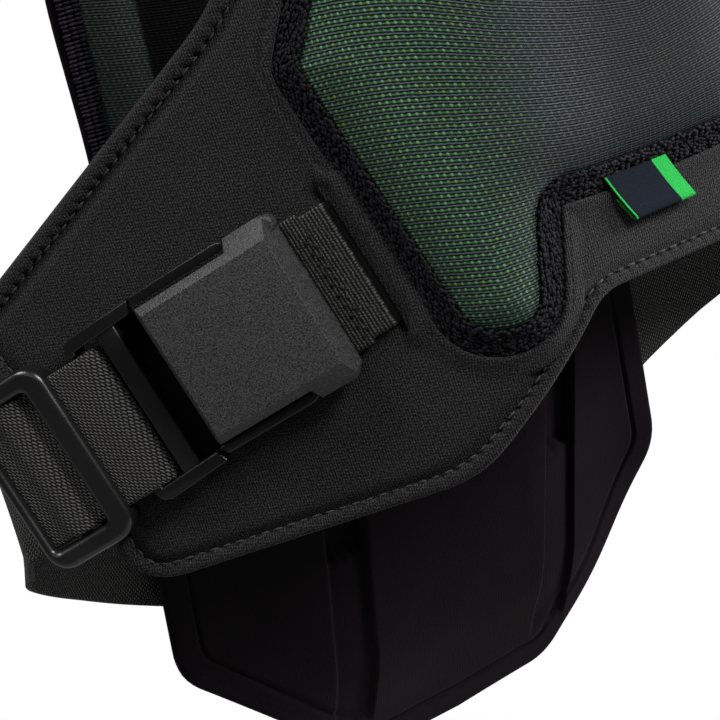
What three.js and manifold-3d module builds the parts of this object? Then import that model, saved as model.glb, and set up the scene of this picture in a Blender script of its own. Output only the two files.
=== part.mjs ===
// Roost deflector: a slim chest and back protector with side straps and square buckles.
// Millimetres, +Z up, the wearer faces -Y and the wearer's right is -X.
import * as THREE from "three";
import { mergeVertices } from "three/addons/utils/BufferGeometryUtils.js";
import Module from "manifold-3d";

const wasm = await Module();
wasm.setup();

// Driving dimensions
const GAP = 0.3;
// Pads and their seams lie this far over the panel, clear of its facets
const LAY = 1.1;
const FRONT = { thickness: 4, columns: 24, rows: 10 };
const BACK = { thickness: 4, padDepth: 11, padStart: 38, padEnd: 100, columns: 22, rows: 13 };
const PAD = { edge: 1.6, crown: 8.5, ramp: 17, columns: 24, rows: 9 };
const LINING = { edge: 1.4, crown: 4.5, ramp: 12, columns: 16, rows: 8 };
const SEAM = { width: 6.5, height: 2.4, inset: 0.6, crest: 1.2, slope: 1.6, fall: 0.85 };
// Channels down the back's inner face; both lean one way, and are even about the middle at one height
const CHANNEL = { depth: 4, halfWidth: 7, top: 53, drift: 0.05, start: -345, end: -484 };
const CHANNEL_LEAN = { slope: 0.155, even: -450 };
const WEBBING = { width: 42, thickness: 2, shift: -2.5 };
const TAB = { width: 40, thickness: 1.8 };
const SHOULDER = { width: 32, thickness: 5, place: 58, clear: 1 };
const LABEL = { width: 22, drop: 12, lean: 0.55, thickness: 0.9, lift: 1.2, centre: -9, columns: 4 };
const STRAP_STEPS = 3;

// Buckle, in its own frame: along the strap, across it, and height over the wing
const SLOT = { from: 34.4, to: 39.6, reach: 22, depth: 9 };
const PLATE = { along: 22.4, across: 21, low: 3.2, high: 13, chamfer: 3.2, bevel: 2.4 };
const EAR = { from: 8.6, to: 21.4, reach: 24.8, high: 8.6 };
const FRAME = { end: -46.4, tip: 7.8, reach: 25, inner: 21.5, low: 2.9, high: 7.4, bar: 4.4, barHigh: 4.2 };
// The strap's end of the frame sits a little lower than its rails beside the plate
const FORK = { notch: -24.4, shift: -1.8, reach: 26, inner: 22 };
const CROSSBAR = { from: -36.2, to: -30.2 };
const GLIDE = { from: -83, to: -54.6, shift: -2.9, reach: 27.3, low: 3.2, high: 9.8, radius: 5, bevel: 1 };
const GLIDE_BAR = { left: 3, right: 7, low: 6.9, side: 0.6, centreHalf: 1.6, centreHeight: 2.2 };
const TAB_PATH = [
  { along: 8, height: 1.5 },
  { along: 33, height: 1.5 },
  { along: 35.9, height: 0.7 },
  { along: 37.2, height: -4 },
  { along: 40.5, height: -6 },
  { along: 47, height: -6.2 },
];

// Form of the front: a leaning centre plane and two turned wing planes, blended over a soft ridge
const CENTRE_PLANE = { y: -71.4, z: -271, lean: 10 };
const WING_PLANE = { x: 103.3, y: -20.7, z: -277.5, turn: 43, lean: 11 };
const RIDGE_BLEND = 22;
const CHEST = { from: -190, to: -70, lean: 0.5, flatten: 0.55 };
// Form of the back: nearly flat, bent forward at the top
const BACK_PLANE = { y: 80, curve: 0.0004, bendFrom: -120, bend: 0.0035 };
// Where the buckle sits on the wing, as the turn of its strap within the wing plane
const BUCKLE = { turn: 24.4, along: -2.2, across: -1.0 };

// Edges of the soft panels on the wearer's right, in x and z; cut is the rounding at that corner
const FRONT_LOWER = [
  { x: -150.4, z: -300, cut: 0 },
  { x: -145, z: -348, cut: 11 },
  { x: -70, z: -325.7, cut: 9 },
  { x: -27, z: -285, cut: 6 },
  { x: 0, z: -285, cut: 0 },
];
const FRONT_UPPER = [
  { x: -150.9, z: -296, cut: 0 },
  { x: -155, z: -261.5, cut: 8 },
  { x: -83, z: -186.5, cut: 24 },
  { x: -77, z: -95, cut: 20 },
  { x: -75, z: -48, cut: 9 },
  { x: -40, z: -46, cut: 9 },
  { x: -33, z: -76, cut: 13 },
  { x: -14, z: -90, cut: 9 },
  { x: 0, z: -90, cut: 0 },
];
const PAD_LOWER = [
  { x: -79.4, z: -216, cut: 0 },
  { x: -62, z: -288, cut: 8 },
  { x: -46, z: -287.5, cut: 8 },
  { x: -38.5, z: -252.5, cut: 8 },
  { x: 0, z: -253.5, cut: 0 },
];
const PAD_UPPER = [
  { x: -79.3, z: -211, cut: 0 },
  { x: -60, z: -165, cut: 20 },
  { x: -57, z: -104, cut: 13 },
  { x: -30, z: -101, cut: 9 },
  { x: -13, z: -110, cut: 8 },
  { x: 0, z: -110, cut: 0 },
];
const BACK_LOWER = [
  { x: -108.3, z: -345, cut: 0 },
  { x: -112, z: -428, cut: 10 },
  { x: -39, z: -497, cut: 9 },
  { x: 0, z: -500, cut: 0 },
];
const BACK_UPPER = [
  { x: -108, z: -340, cut: 0 },
  { x: -98, z: -262, cut: 30 },
  { x: -101.5, z: -180, cut: 30 },
  { x: -84, z: -95, cut: 30 },
  { x: -78, z: -24, cut: 10 },
  { x: -40, z: -22, cut: 10 },
  { x: -33, z: -40, cut: 10 },
  { x: -15, z: -50, cut: 8 },
  { x: 0, z: -50, cut: 0 },
];
const LINING_LOWER = [
  { x: -91, z: -262, cut: 0 },
  { x: -93, z: -328, cut: 14 },
  { x: 0, z: -328, cut: 0 },
];
const LINING_UPPER = [
  { x: -90.9, z: -257, cut: 0 },
  { x: -92, z: -180, cut: 20 },
  { x: -78, z: -112, cut: 14 },
  { x: 0, z: -108, cut: 0 },
];
// Elastic strap near the buckle: place along the buckle's axis and height over the wing
const STRAP_NEAR = [
  { along: -80.5, height: 5.2 },
  { along: -75.5, height: 5.9 },
  { along: -72, height: 7.4 },
  { along: -68, height: 7.4 },
  { along: -64.5, height: 5.8 },
  { along: -59, height: 5.2 },
  { along: -53, height: 5.4 },
  { along: -47, height: 6.1 },
  { along: -42, height: 6.0 },
  { along: -39.3, height: 4.6 },
  { along: -39.3, height: 2.9 },
  { along: -42, height: 1.6 },
  { along: -52, height: 1.5 },
  { along: -66, height: 1.5 },
  { along: -80, height: 1.8 },
];
// The same strap on its way round the wearer's right side to the back panel, along its middle
const STRAP_ROUND = [
  { x: -164.5, y: 34, z: -321, tilt: 0 },
  { x: -159, y: 47, z: -334, tilt: -0.15 },
  { x: -146, y: 59, z: -348, tilt: 0.12 },
  { x: -128, y: 71.5, z: -364.2, tilt: 0.36 },
  { x: -109, y: 79.2, z: -378.6, tilt: 0.45 },
  { x: -93, y: 79.3, z: -387, tilt: 0.45 },
  { x: -76, y: 79.9, z: -394, tilt: 0.45 },
];
// Shoulder strap of the wearer's right side: heights where it lies on the panels, and its way over the top
const SHOULDER_ON_BACK = [-88, -66, -42];
const SHOULDER_OVER = [
  { y: 41, z: -8, turn: 0 },
  { y: 15, z: 4, turn: -0.06 },
  { y: -13, z: -3, turn: -0.2 },
  { y: -31.5, z: -22, turn: -0.36 },
];
const SHOULDER_ON_FRONT = [-48, -68, -88];

const degrees = THREE.MathUtils.degToRad;
const point = (x, y, z) => new THREE.Vector3(x, y, z);

// Surfaces as y over x and z
function blendMax(a, b, width) {
  const overlap = Math.max(width - Math.abs(a - b), 0) / width;
  return Math.max(a, b) + (overlap * overlap * width) / 4;
}

function frontY(x, z) {
  const eased = z > CHEST.from ? CHEST.from + (z - CHEST.from) * CHEST.lean : z;
  const turn = degrees(WING_PLANE.turn);
  const centre = CENTRE_PLANE.y + Math.tan(degrees(CENTRE_PLANE.lean)) * (eased - CENTRE_PLANE.z);
  const wing =
    WING_PLANE.y +
    Math.tan(turn) * (Math.abs(x) - WING_PLANE.x) +
    (Math.tan(degrees(WING_PLANE.lean)) / Math.cos(turn)) * (eased - WING_PLANE.z);
  const flat = 1 - CHEST.flatten * THREE.MathUtils.smoothstep(z, CHEST.from, CHEST.to);
  return centre + (blendMax(centre, wing, RIDGE_BLEND) - centre) * flat;
}

function backOuterY(x, z) {
  const above = Math.max(z - BACK_PLANE.bendFrom, 0);
  return BACK_PLANE.y - BACK_PLANE.curve * x * x - BACK_PLANE.bend * above * above;
}

// The back is padded inwards, and two moulded channels run down its inner face
function backInnerY(x, z) {
  const reach = Math.abs(x);
  const padded = 1 - THREE.MathUtils.smoothstep(reach, BACK.padStart, BACK.padEnd);
  const low = THREE.MathUtils.smoothstep(z, BACK_LOWER.at(-1).z, CHANNEL.end + 40);
  const top = 1 - THREE.MathUtils.smoothstep(z, BACK_PLANE.bendFrom, BACK_UPPER.at(-1).z);
  const middle = CHANNEL.top + CHANNEL.drift * (z - CHANNEL.start);
  const leant = Math.abs(x - CHANNEL_LEAN.slope * (z - CHANNEL_LEAN.even));
  const off = Math.abs(leant - middle) / CHANNEL.halfWidth;
  const within = z < CHANNEL.start && z > CHANNEL.end && off < 1;
  const channel = within ? CHANNEL.depth * (1 - off * off) : 0;
  return backOuterY(x, z) - BACK.thickness - BACK.padDepth * padded * low * top + channel;
}

// Unit normal of such a surface, facing -Y
function normalOf(surface, x, z) {
  const step = 0.5;
  const slopeX = (surface(x + step, z) - surface(x - step, z)) / (2 * step);
  const slopeZ = (surface(x, z + step) - surface(x, z - step)) / (2 * step);
  return point(slopeX, -1, slopeZ).normalize();
}

function onSurface(surface, x, z, height) {
  return point(x, surface(x, z), z).addScaledVector(normalOf(surface, x, z), height);
}

// Evenly spaced points along an edge whose corners are rounded
function edgePoints(rows, count) {
  const path = new THREE.Path();
  path.moveTo(rows[0].x, rows[0].z);
  rows.slice(1).forEach((row, k) => {
    const before = rows[k];
    const after = rows[k + 2];
    if (!after) {
      path.lineTo(row.x, row.z);
      return;
    }
    const corner = new THREE.Vector2(row.x, row.z);
    const back = new THREE.Vector2(before.x, before.z).sub(corner).setLength(row.cut).add(corner);
    const on = new THREE.Vector2(after.x, after.z).sub(corner).setLength(row.cut).add(corner);
    path.lineTo(back.x, back.y);
    path.quadraticCurveTo(corner.x, corner.y, on.x, on.y);
  });
  return path.getSpacedPoints(count);
}

const mirrored = (p) => new THREE.Vector2(-p.x, p.y);

// Columns of flat points from the lower edge to the upper edge, over both halves
function patch(lower, upper, columns, rows) {
  const low = edgePoints(lower, columns);
  const high = edgePoints(upper, columns);
  const half = low.map((p, i) =>
    Array.from({ length: rows + 1 }, (_, j) => p.clone().lerp(high[i], j / rows)),
  );
  const other = half.slice(0, -1).reverse().map((column) => column.map(mirrored));
  return [...half, ...other];
}

// Closed outline of a patch, both halves, in order
function outline(lower, upper, count) {
  const low = edgePoints(lower, count).reverse();
  const half = [...low, ...edgePoints(upper, count)];
  return [...half, ...half.slice(1, -1).reverse().map(mirrored)];
}

function distanceTo(loop, p) {
  const line = new THREE.Line3();
  const near = point(0, 0, 0);
  const spot = point(p.x, p.y, 0);
  return Math.min(
    ...loop.map((a, i) => {
      const b = loop[(i + 1) % loop.length];
      line.set(point(a.x, a.y, 0), point(b.x, b.y, 0));
      return line.closestPointToPoint(spot, true, near).distanceTo(spot);
    }),
  );
}

function geometryFrom(points, faces) {
  const geometry = new THREE.BufferGeometry().setFromPoints(points);
  geometry.setIndex(faces);
  return geometry;
}

// Solid between two grids of points; the first faces -Y
function gridSolid(facing, behind) {
  const columns = facing.length;
  const rows = facing[0].length;
  const faces = [];
  const at = (side, i, j) => (side * columns + i) * rows + j;
  const quad = (a, b, c, d) => faces.push(a, b, c, a, c, d);
  for (let i = 0; i < columns - 1; i++) {
    for (let j = 0; j < rows - 1; j++) {
      quad(at(0, i, j), at(0, i + 1, j), at(0, i + 1, j + 1), at(0, i, j + 1));
      quad(at(1, i, j), at(1, i, j + 1), at(1, i + 1, j + 1), at(1, i + 1, j));
    }
  }
  const rim = [];
  for (let i = 0; i < columns - 1; i++) rim.push([i, 0]);
  for (let j = 0; j < rows - 1; j++) rim.push([columns - 1, j]);
  for (let i = columns - 1; i > 0; i--) rim.push([i, rows - 1]);
  for (let j = rows - 1; j > 0; j--) rim.push([0, j]);
  rim.forEach((p, k) => {
    const q = rim[(k + 1) % rim.length];
    quad(at(0, ...q), at(0, ...p), at(1, ...p), at(1, ...q));
  });
  return geometryFrom([...facing.flat(), ...behind.flat()], faces);
}

// Solid through rings of points; a closed one joins its last ring to its first
function ringSolid(rings, closed) {
  const sides = rings[0].length;
  const faces = [];
  const at = (i, k) => (i % rings.length) * sides + (k % sides);
  const spans = closed ? rings.length : rings.length - 1;
  for (let i = 0; i < spans; i++) {
    for (let k = 0; k < sides; k++) {
      faces.push(at(i, k), at(i, k + 1), at(i + 1, k + 1));
      faces.push(at(i, k), at(i + 1, k + 1), at(i + 1, k));
    }
  }
  if (!closed) {
    for (let k = 1; k < sides - 1; k++) {
      faces.push(at(0, 0), at(0, k + 1), at(0, k));
      faces.push(at(rings.length - 1, 0), at(rings.length - 1, k), at(rings.length - 1, k + 1));
    }
  }
  return geometryFrom(rings.flat(), faces);
}

// Booleans
function manifoldOf(geometry) {
  const bare = geometry.clone();
  bare.deleteAttribute("normal");
  bare.deleteAttribute("uv");
  const merged = mergeVertices(bare, 1e-4);
  return new wasm.Manifold(
    new wasm.Mesh({
      numProp: 3,
      vertProperties: merged.getAttribute("position").array,
      triVerts: new Uint32Array(merged.index.array),
    }),
  );
}

function geometryOf(body) {
  const mesh = body.getMesh();
  const geometry = new THREE.BufferGeometry();
  geometry.setAttribute("position", new THREE.BufferAttribute(mesh.vertProperties, 3));
  geometry.setIndex(new THREE.BufferAttribute(mesh.triVerts, 1));
  return geometry;
}

const join = (...parts) => geometryOf(parts.map(manifoldOf).reduce((all, next) => all.add(next)));
const cut = (body, ...tools) =>
  geometryOf(tools.map(manifoldOf).reduce((left, tool) => left.subtract(tool), manifoldOf(body)));

function block(x0, x1, y0, y1, z0, z1) {
  const geometry = new THREE.BoxGeometry(x1 - x0, y1 - y0, z1 - z0);
  return geometry.translate((x0 + x1) / 2, (y0 + y1) / 2, (z0 + z1) / 2);
}

function roundedBlock(x0, x1, y0, y1, z0, z1, radius, bevel) {
  const shape = new THREE.Shape();
  const [left, right, low, high] = [x0 + bevel, x1 - bevel, y0 + bevel, y1 - bevel];
  const r = radius - bevel;
  shape.moveTo(left + r, low);
  shape.lineTo(right - r, low);
  shape.absarc(right - r, low + r, r, -Math.PI / 2, 0);
  shape.lineTo(right, high - r);
  shape.absarc(right - r, high - r, r, 0, Math.PI / 2);
  shape.lineTo(left + r, high);
  shape.absarc(left + r, high - r, r, Math.PI / 2, Math.PI);
  shape.lineTo(left, low + r);
  shape.absarc(left + r, low + r, r, Math.PI, 1.5 * Math.PI);
  const geometry = new THREE.ExtrudeGeometry(shape, {
    depth: z1 - z0 - 2 * bevel,
    curveSegments: 4,
    bevelEnabled: bevel > 0,
    bevelSize: bevel,
    bevelThickness: bevel,
    bevelSegments: 1,
  });
  return geometry.translate(0, 0, z0 + bevel);
}

// Materials
const fabric = (color) => new THREE.MeshStandardMaterial({ color, roughness: 0.95, metalness: 0 });
const plastic = (color, roughness) => new THREE.MeshStandardMaterial({ color, roughness, metalness: 0 });
const MATERIAL = {
  carrier: fabric(0x242427),
  mesh: fabric(0x27402d),
  seam: fabric(0x151517),
  label: fabric(0x18213a),
  webbing: fabric(0x1c1c1f),
  buckle: plastic(0x202022, 0.55),
  adjuster: plastic(0x161618, 0.3),
};

const deflector = new THREE.Group();
const rightSide = new THREE.Group();
const leftSide = new THREE.Group();
leftSide.scale.x = -1;
deflector.add(rightSide, leftSide);

function addMesh(group, name, geometry, material) {
  const mesh = new THREE.Mesh(geometry, material);
  mesh.name = name;
  group.add(mesh);
  return mesh;
}

// The buckle's own frame on the wing of the wearer's right: strap axis, across, outwards
function buckleMatrix() {
  const turn = degrees(WING_PLANE.turn);
  const lean = degrees(WING_PLANE.lean);
  const level = point(Math.cos(turn), -Math.sin(turn), 0);
  const out = point(
    -Math.sin(turn) * Math.cos(lean),
    -Math.cos(turn) * Math.cos(lean),
    Math.sin(lean),
  );
  const rise = out.clone().cross(level);
  const swing = degrees(BUCKLE.turn);
  const along = level.clone().multiplyScalar(Math.cos(swing)).addScaledVector(rise, Math.sin(swing));
  const across = out.clone().cross(along);
  const origin = point(-WING_PLANE.x, WING_PLANE.y, WING_PLANE.z)
    .addScaledVector(along, BUCKLE.along)
    .addScaledVector(across, BUCKLE.across);
  return new THREE.Matrix4().makeBasis(along, across, out).setPosition(origin);
}
const onWing = buckleMatrix();

// Front panel with the two slots that its buckle tabs pass through
function frontPanel() {
  const flat = patch(FRONT_LOWER, FRONT_UPPER, FRONT.columns, FRONT.rows);
  const skin = flat.map((column) => column.map((p) => onSurface(frontY, p.x, p.y, 0)));
  const inside = flat.map((column) => column.map((p) => onSurface(frontY, p.x, p.y, -FRONT.thickness)));
  const slot = block(SLOT.from, SLOT.to, -SLOT.reach, SLOT.reach, -SLOT.depth, SLOT.depth);
  slot.applyMatrix4(onWing);
  const otherSlot = slot.clone().scale(-1, 1, 1);
  const turned = otherSlot.index.array;
  for (let i = 0; i < turned.length; i += 3) {
    [turned[i + 1], turned[i + 2]] = [turned[i + 2], turned[i + 1]];
  }
  return cut(gridSolid(skin, inside), slot, otherSlot);
}

// A domed pad on a surface, thin at its sewn edge
function pad(lower, upper, size, surface, base) {
  const flat = patch(lower, upper, size.columns, size.rows);
  const loop = outline(lower, upper, size.columns * 2);
  const height = (p) => {
    const rise = Math.min(distanceTo(loop, p) / size.ramp, 1);
    return base + size.edge + (size.crown - size.edge) * Math.sin((rise * Math.PI) / 2);
  };
  const skin = flat.map((column) => column.map((p) => onSurface(surface, p.x, p.y, height(p))));
  const under = flat.map((column) => column.map((p) => onSurface(surface, p.x, p.y, base)));
  return gridSolid(skin, under);
}

// The sewn band round a pad, laid on the same surface outside the pad's edge
function seam(lower, upper, columns, surface, base) {
  const loop = outline(lower, upper, columns);
  const profile = [
    { out: SEAM.width, up: 0 },
    { out: SEAM.width - SEAM.slope, up: SEAM.height * SEAM.fall },
    { out: SEAM.crest, up: SEAM.height },
    { out: SEAM.inset, up: 0 },
  ];
  const rings = loop.map((p, i) => {
    const next = loop[(i + 1) % loop.length];
    const last = loop[(i - 1 + loop.length) % loop.length];
    const spot = onSurface(surface, p.x, p.y, 0);
    const ahead = onSurface(surface, next.x, next.y, 0).sub(onSurface(surface, last.x, last.y, 0));
    const outward = ahead.clone().cross(normalOf(surface, p.x, p.y)).normalize().negate();
    return profile.map((row) => {
      const q = spot.clone().addScaledVector(outward, row.out);
      return onSurface(surface, q.x, q.z, base + row.up);
    });
  });
  return ringSolid(rings, true);
}

// A small flap that hangs from the pad's seam and stands off at its free end
function label() {
  const top = PAD_LOWER.at(-1).z - SEAM.width - GAP;
  const sheet = (height) =>
    Array.from({ length: LABEL.columns + 1 }, (_, i) => {
      const x = LABEL.centre + LABEL.width * (i / LABEL.columns - 0.5);
      const free = onSurface(frontY, x + LABEL.lean * LABEL.drop, top - LABEL.drop, height + LABEL.lift);
      return [free, onSurface(frontY, x, top, height)];
    });
  return gridSolid(sheet(GAP * 2 + LABEL.thickness), sheet(GAP * 2));
}

function backPanel() {
  const flat = patch(BACK_LOWER, BACK_UPPER, BACK.columns, BACK.rows);
  const inner = flat.map((column) => column.map((p) => point(p.x, backInnerY(p.x, p.y), p.y)));
  const outer = flat.map((column) => column.map((p) => point(p.x, backOuterY(p.x, p.y), p.y)));
  return gridSolid(inner, outer);
}

// A flat band along a path: one ring of four corners for each row
function band(middles, widths, width, thickness) {
  const rings = middles.map((middle, i) => {
    const before = middles[Math.max(i - 1, 0)];
    const after = middles[Math.min(i + 1, middles.length - 1)];
    const tangent = after.clone().sub(before).normalize();
    const side = widths[i].clone().addScaledVector(tangent, -widths[i].dot(tangent)).normalize();
    const up = tangent.clone().cross(side);
    const corner = (s, u) =>
      middle.clone().addScaledVector(side, (s * width) / 2).addScaledVector(up, (u * thickness) / 2);
    return [corner(-1, -1), corner(1, -1), corner(1, 1), corner(-1, 1)];
  });
  return ringSolid(rings, false);
}

function shoulderStrap() {
  const x = -SHOULDER.place;
  const lift = SHOULDER.clear + SHOULDER.thickness / 2;
  const slope = (surface, z) => surface(x + 1, z) - surface(x, z);
  const rows = [
    ...SHOULDER_ON_BACK.map((z) => ({
      middle: onSurface(backOuterY, x, z, -lift),
      turn: slope(backOuterY, z),
    })),
    ...SHOULDER_OVER.map((row) => ({ middle: point(x, row.y, row.z), turn: row.turn })),
    ...SHOULDER_ON_FRONT.map((z) => ({ middle: onSurface(frontY, x, z, lift), turn: slope(frontY, z) })),
  ];
  const curve = new THREE.CatmullRomCurve3(rows.map((row) => row.middle));
  const turns = new THREE.CatmullRomCurve3(rows.map((row) => point(1, row.turn, 0)));
  const steps = STRAP_STEPS * (rows.length - 1);
  const middles = Array.from({ length: steps + 1 }, (_, i) => curve.getPoint(i / steps));
  const widths = Array.from({ length: steps + 1 }, (_, i) => turns.getPoint(i / steps));
  return band(middles, widths, SHOULDER.width, SHOULDER.thickness);
}

function sideStrap() {
  const near = STRAP_NEAR.map((row) => point(row.along, WEBBING.shift, row.height).applyMatrix4(onWing));
  const across = point(0, 1, 0).transformDirection(onWing);
  const round = STRAP_ROUND.map((row) => point(row.x, row.y, row.z));
  const leaning = STRAP_ROUND.map((row) => point(row.tilt, 0, 1).normalize());
  const curve = new THREE.CatmullRomCurve3([...near, ...round], false, "centripetal");
  const sides = [...near.map(() => across), ...leaning];
  const spans = sides.length - 1;
  const steps = STRAP_STEPS * spans;
  const middles = Array.from({ length: steps + 1 }, (_, i) => curve.getPoint(i / steps));
  const widths = Array.from({ length: steps + 1 }, (_, i) => {
    const k = Math.min(Math.floor(i / STRAP_STEPS), spans - 1);
    return sides[k].clone().lerp(sides[k + 1], i / STRAP_STEPS - k);
  });
  return band(middles, widths, WEBBING.width, WEBBING.thickness);
}

// Short webbing from under the plate, through the panel's slot, to the inside of the panel
function buckleTab() {
  const middles = TAB_PATH.map((row) => point(row.along, 0, row.height));
  const widths = TAB_PATH.map(() => point(0, 1, 0));
  return band(middles, widths, TAB.width, TAB.thickness);
}

// Square buckle plate: a bevelled block with two ears beside the tab
function bucklePlate() {
  const corners = [
    [-1, -1],
    [1, -1],
    [1, 1],
    [-1, 1],
  ];
  const ring = (height, by) =>
    corners.map(([s, t]) => point(s * (PLATE.along - by), t * (PLATE.across - by), height));
  const levels = [ring(PLATE.low, 0), ring(PLATE.high - PLATE.chamfer, 0), ring(PLATE.high, PLATE.bevel)];
  const ears = block(EAR.from, EAR.to, -EAR.reach, EAR.reach, PLATE.low, EAR.high);
  return join(ringSolid(levels, false), ears);
}

// Fork-shaped buckle frame: rails beside the plate, arms, a crossbar and the low bar under the strap
function buckleFrame() {
  const bar = (from, to, edge, otherEdge, high) =>
    block(from, to, Math.min(edge, otherEdge), Math.max(edge, otherEdge), FRAME.low, high);
  const sides = [-1, 1].flatMap((side) => [
    bar(FORK.notch - 1, FRAME.tip, side * FRAME.inner, side * FRAME.reach, FRAME.high),
    bar(FRAME.end, FORK.notch, FORK.shift + side * FORK.inner, FORK.shift + side * FORK.reach, FRAME.high),
  ]);
  const ends = [-1, 1].map((side) => FORK.shift + side * (FORK.inner + 1));
  const crossbar = bar(CROSSBAR.from, CROSSBAR.to, ...ends, FRAME.high);
  const endBar = bar(FRAME.end, FRAME.end + FRAME.bar, ...ends, FRAME.barHigh);
  return join(...sides, crossbar, endBar);
}

// Tri-glide adjuster: two high bars that hold the strap down and one low bar between them
function strapAdjuster() {
  const { from, to, shift, reach, low, high, radius, bevel } = GLIDE;
  const { left, right, side, centreHalf, centreHeight } = GLIDE_BAR;
  const outer = roundedBlock(from, to, shift - reach, shift + reach, low, high, radius, bevel);
  const half = WEBBING.width / 2 + side;
  const window = block(from + left, to - right, shift - half, shift + half, low - 1, high + 1);
  const under = block(from - 1, to + 1, shift - half, shift + half, low - 1, GLIDE_BAR.low);
  const middle = (from + left + to - right) / 2;
  const ends = [shift - half - 2, shift + half + 2];
  const centreBar = block(middle - centreHalf, middle + centreHalf, ...ends, low, low + centreHeight);
  return join(cut(outer, window, under), centreBar);
}

// Assembly
addMesh(deflector, "front_panel", frontPanel(), MATERIAL.carrier);
addMesh(deflector, "front_pad", pad(PAD_LOWER, PAD_UPPER, PAD, frontY, LAY), MATERIAL.mesh);
addMesh(deflector, "front_pad_seam", seam(PAD_LOWER, PAD_UPPER, PAD.columns, frontY, LAY), MATERIAL.seam);
addMesh(deflector, "label", label(), MATERIAL.label);
addMesh(deflector, "back_panel", backPanel(), MATERIAL.carrier);
addMesh(deflector, "back_pad", pad(LINING_LOWER, LINING_UPPER, LINING, backInnerY, LAY), MATERIAL.mesh);
const liningSeam = seam(LINING_LOWER, LINING_UPPER, LINING.columns, backInnerY, LAY);
addMesh(deflector, "back_pad_seam", liningSeam, MATERIAL.seam);

for (const [side, group] of Object.entries({ right: rightSide, left: leftSide })) {
  addMesh(group, "shoulder_strap_" + side, shoulderStrap(), MATERIAL.carrier);
  addMesh(group, "side_strap_" + side, sideStrap(), MATERIAL.webbing);
  const pieces = [
    ["buckle_tab_", buckleTab(), MATERIAL.webbing],
    ["buckle_plate_", bucklePlate(), MATERIAL.buckle],
    ["buckle_frame_", buckleFrame(), MATERIAL.buckle],
    ["strap_adjuster_", strapAdjuster(), MATERIAL.adjuster],
  ];
  for (const [name, geometry, material] of pieces) {
    addMesh(group, name + side, geometry.applyMatrix4(onWing), material);
  }
}

export default deflector;
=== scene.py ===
import math
from functools import partial
from types import SimpleNamespace as Sizes

import bmesh
import bpy
import numpy as np
from mathutils import Matrix, Vector
from mathutils.kdtree import KDTree


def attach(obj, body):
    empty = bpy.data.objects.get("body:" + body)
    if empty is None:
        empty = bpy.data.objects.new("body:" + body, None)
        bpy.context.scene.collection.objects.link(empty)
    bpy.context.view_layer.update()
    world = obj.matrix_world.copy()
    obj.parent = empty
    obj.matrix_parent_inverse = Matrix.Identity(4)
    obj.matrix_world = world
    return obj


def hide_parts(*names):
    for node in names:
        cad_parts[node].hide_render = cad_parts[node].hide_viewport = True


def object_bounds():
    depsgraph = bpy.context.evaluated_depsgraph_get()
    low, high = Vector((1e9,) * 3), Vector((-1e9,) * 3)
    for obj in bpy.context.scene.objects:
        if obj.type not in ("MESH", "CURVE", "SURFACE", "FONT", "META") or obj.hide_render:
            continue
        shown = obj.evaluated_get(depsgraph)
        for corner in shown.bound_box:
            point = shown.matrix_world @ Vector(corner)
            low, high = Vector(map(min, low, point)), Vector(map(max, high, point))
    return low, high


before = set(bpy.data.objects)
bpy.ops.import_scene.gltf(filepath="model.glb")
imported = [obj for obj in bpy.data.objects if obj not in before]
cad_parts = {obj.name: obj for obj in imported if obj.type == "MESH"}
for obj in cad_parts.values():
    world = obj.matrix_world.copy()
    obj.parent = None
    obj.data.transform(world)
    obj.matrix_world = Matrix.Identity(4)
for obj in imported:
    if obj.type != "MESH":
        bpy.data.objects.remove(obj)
CAD_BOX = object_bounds()
MM = 0.001

# Camera: turn and height round the vest, tilt of the picture, place, lens and sensor in millimetres
CAMERA = Sizes(turn=-31.0, height=22.0, tilt=10.6, place=(-305.2, -406.2, -118.2), lens=86.15, sensor=36.0)

# Form of the front, of the back and of the buckle's seat on the wing
CENTRE_PLANE = Sizes(y=-71.4, z=-271.0, lean=10.0)
WING_PLANE = Sizes(x=103.3, y=-20.7, z=-277.5, turn=43.0, lean=11.0)
RIDGE_BLEND = 22.0
CHEST = Sizes(start=-190.0, end=-70.0, lean=0.5, flatten=0.55)
BACK_PLANE = Sizes(y=80.0, curve=0.0004, bend_from=-120.0, bend=0.0035)
BACK = Sizes(thickness=4.0, pad_depth=11.0, pad_start=38.0, pad_end=100.0)
CHANNEL = Sizes(
    half=8.8, wall=1.8, top=54.0, drift=0.05, lean=0.155, even=-466.0, start=-345.0, end=-484.0, fade=10.0,
)
TAIL_FADE = 36.0
CHANNEL_DEPTH = Sizes(low=2.6, high=6.0, step=-408.5, blend=0.9)
BUCKLE = Sizes(turn=24.4, along=-2.2, across=-1.0)

# Stitch grooves of the back panel: on its outer face, and round the tail on its inner face
BORDER = Sizes(outer=3.9, outer_depth=0.8, outer_width=0.9, stitch_lift=0.35)
TAIL_BORDER = Sizes(inset=10.5, depth=1.1, width=0.8, start=-345.0, fade=20.0)

# Cloth build: panel walls, pads, their sewn bands and the stitch runs
PANEL = Sizes(thickness=4.0, roll=1.9, sunk=1.9, sunk_from=2.9, sunk_to=7.6, uv_level=-265.0, uv_reach=170.0)
BINDING = Sizes(pitch=3.9, tooth=0.85, drop=0.45, step=0.6, power=0.6)
PAD = Sizes(base=0.25, edge=1.6, crown=8.6, ramp=15.0, power=0.72, covered=900.0, columns=150, rows=60)
LINING = Sizes(base=0.25, edge=1.4, crown=4.6, ramp=12.0, power=0.8, covered=15.5, columns=130, rows=50)
SEAM = Sizes(width=6.5)
OVERLOCK = Sizes(step=1.3, rise=1.1, base=0.1, lift=1.4, rows=4)
KNOT_SWING = 0.35
OUTLINE_STEP = 1.2
SLOT = Sizes(
    middle=37.0, half=2.6, across=0.7, reach=22.2, shut=1.5, open=19.7, near=20.0, far=99.0, cut=(-14, 12),
    lip=2.1, lip_place=3.0, lip_width=3.0, dip=2.4, dip_in=2.2, dip_out=1.6,
)
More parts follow.
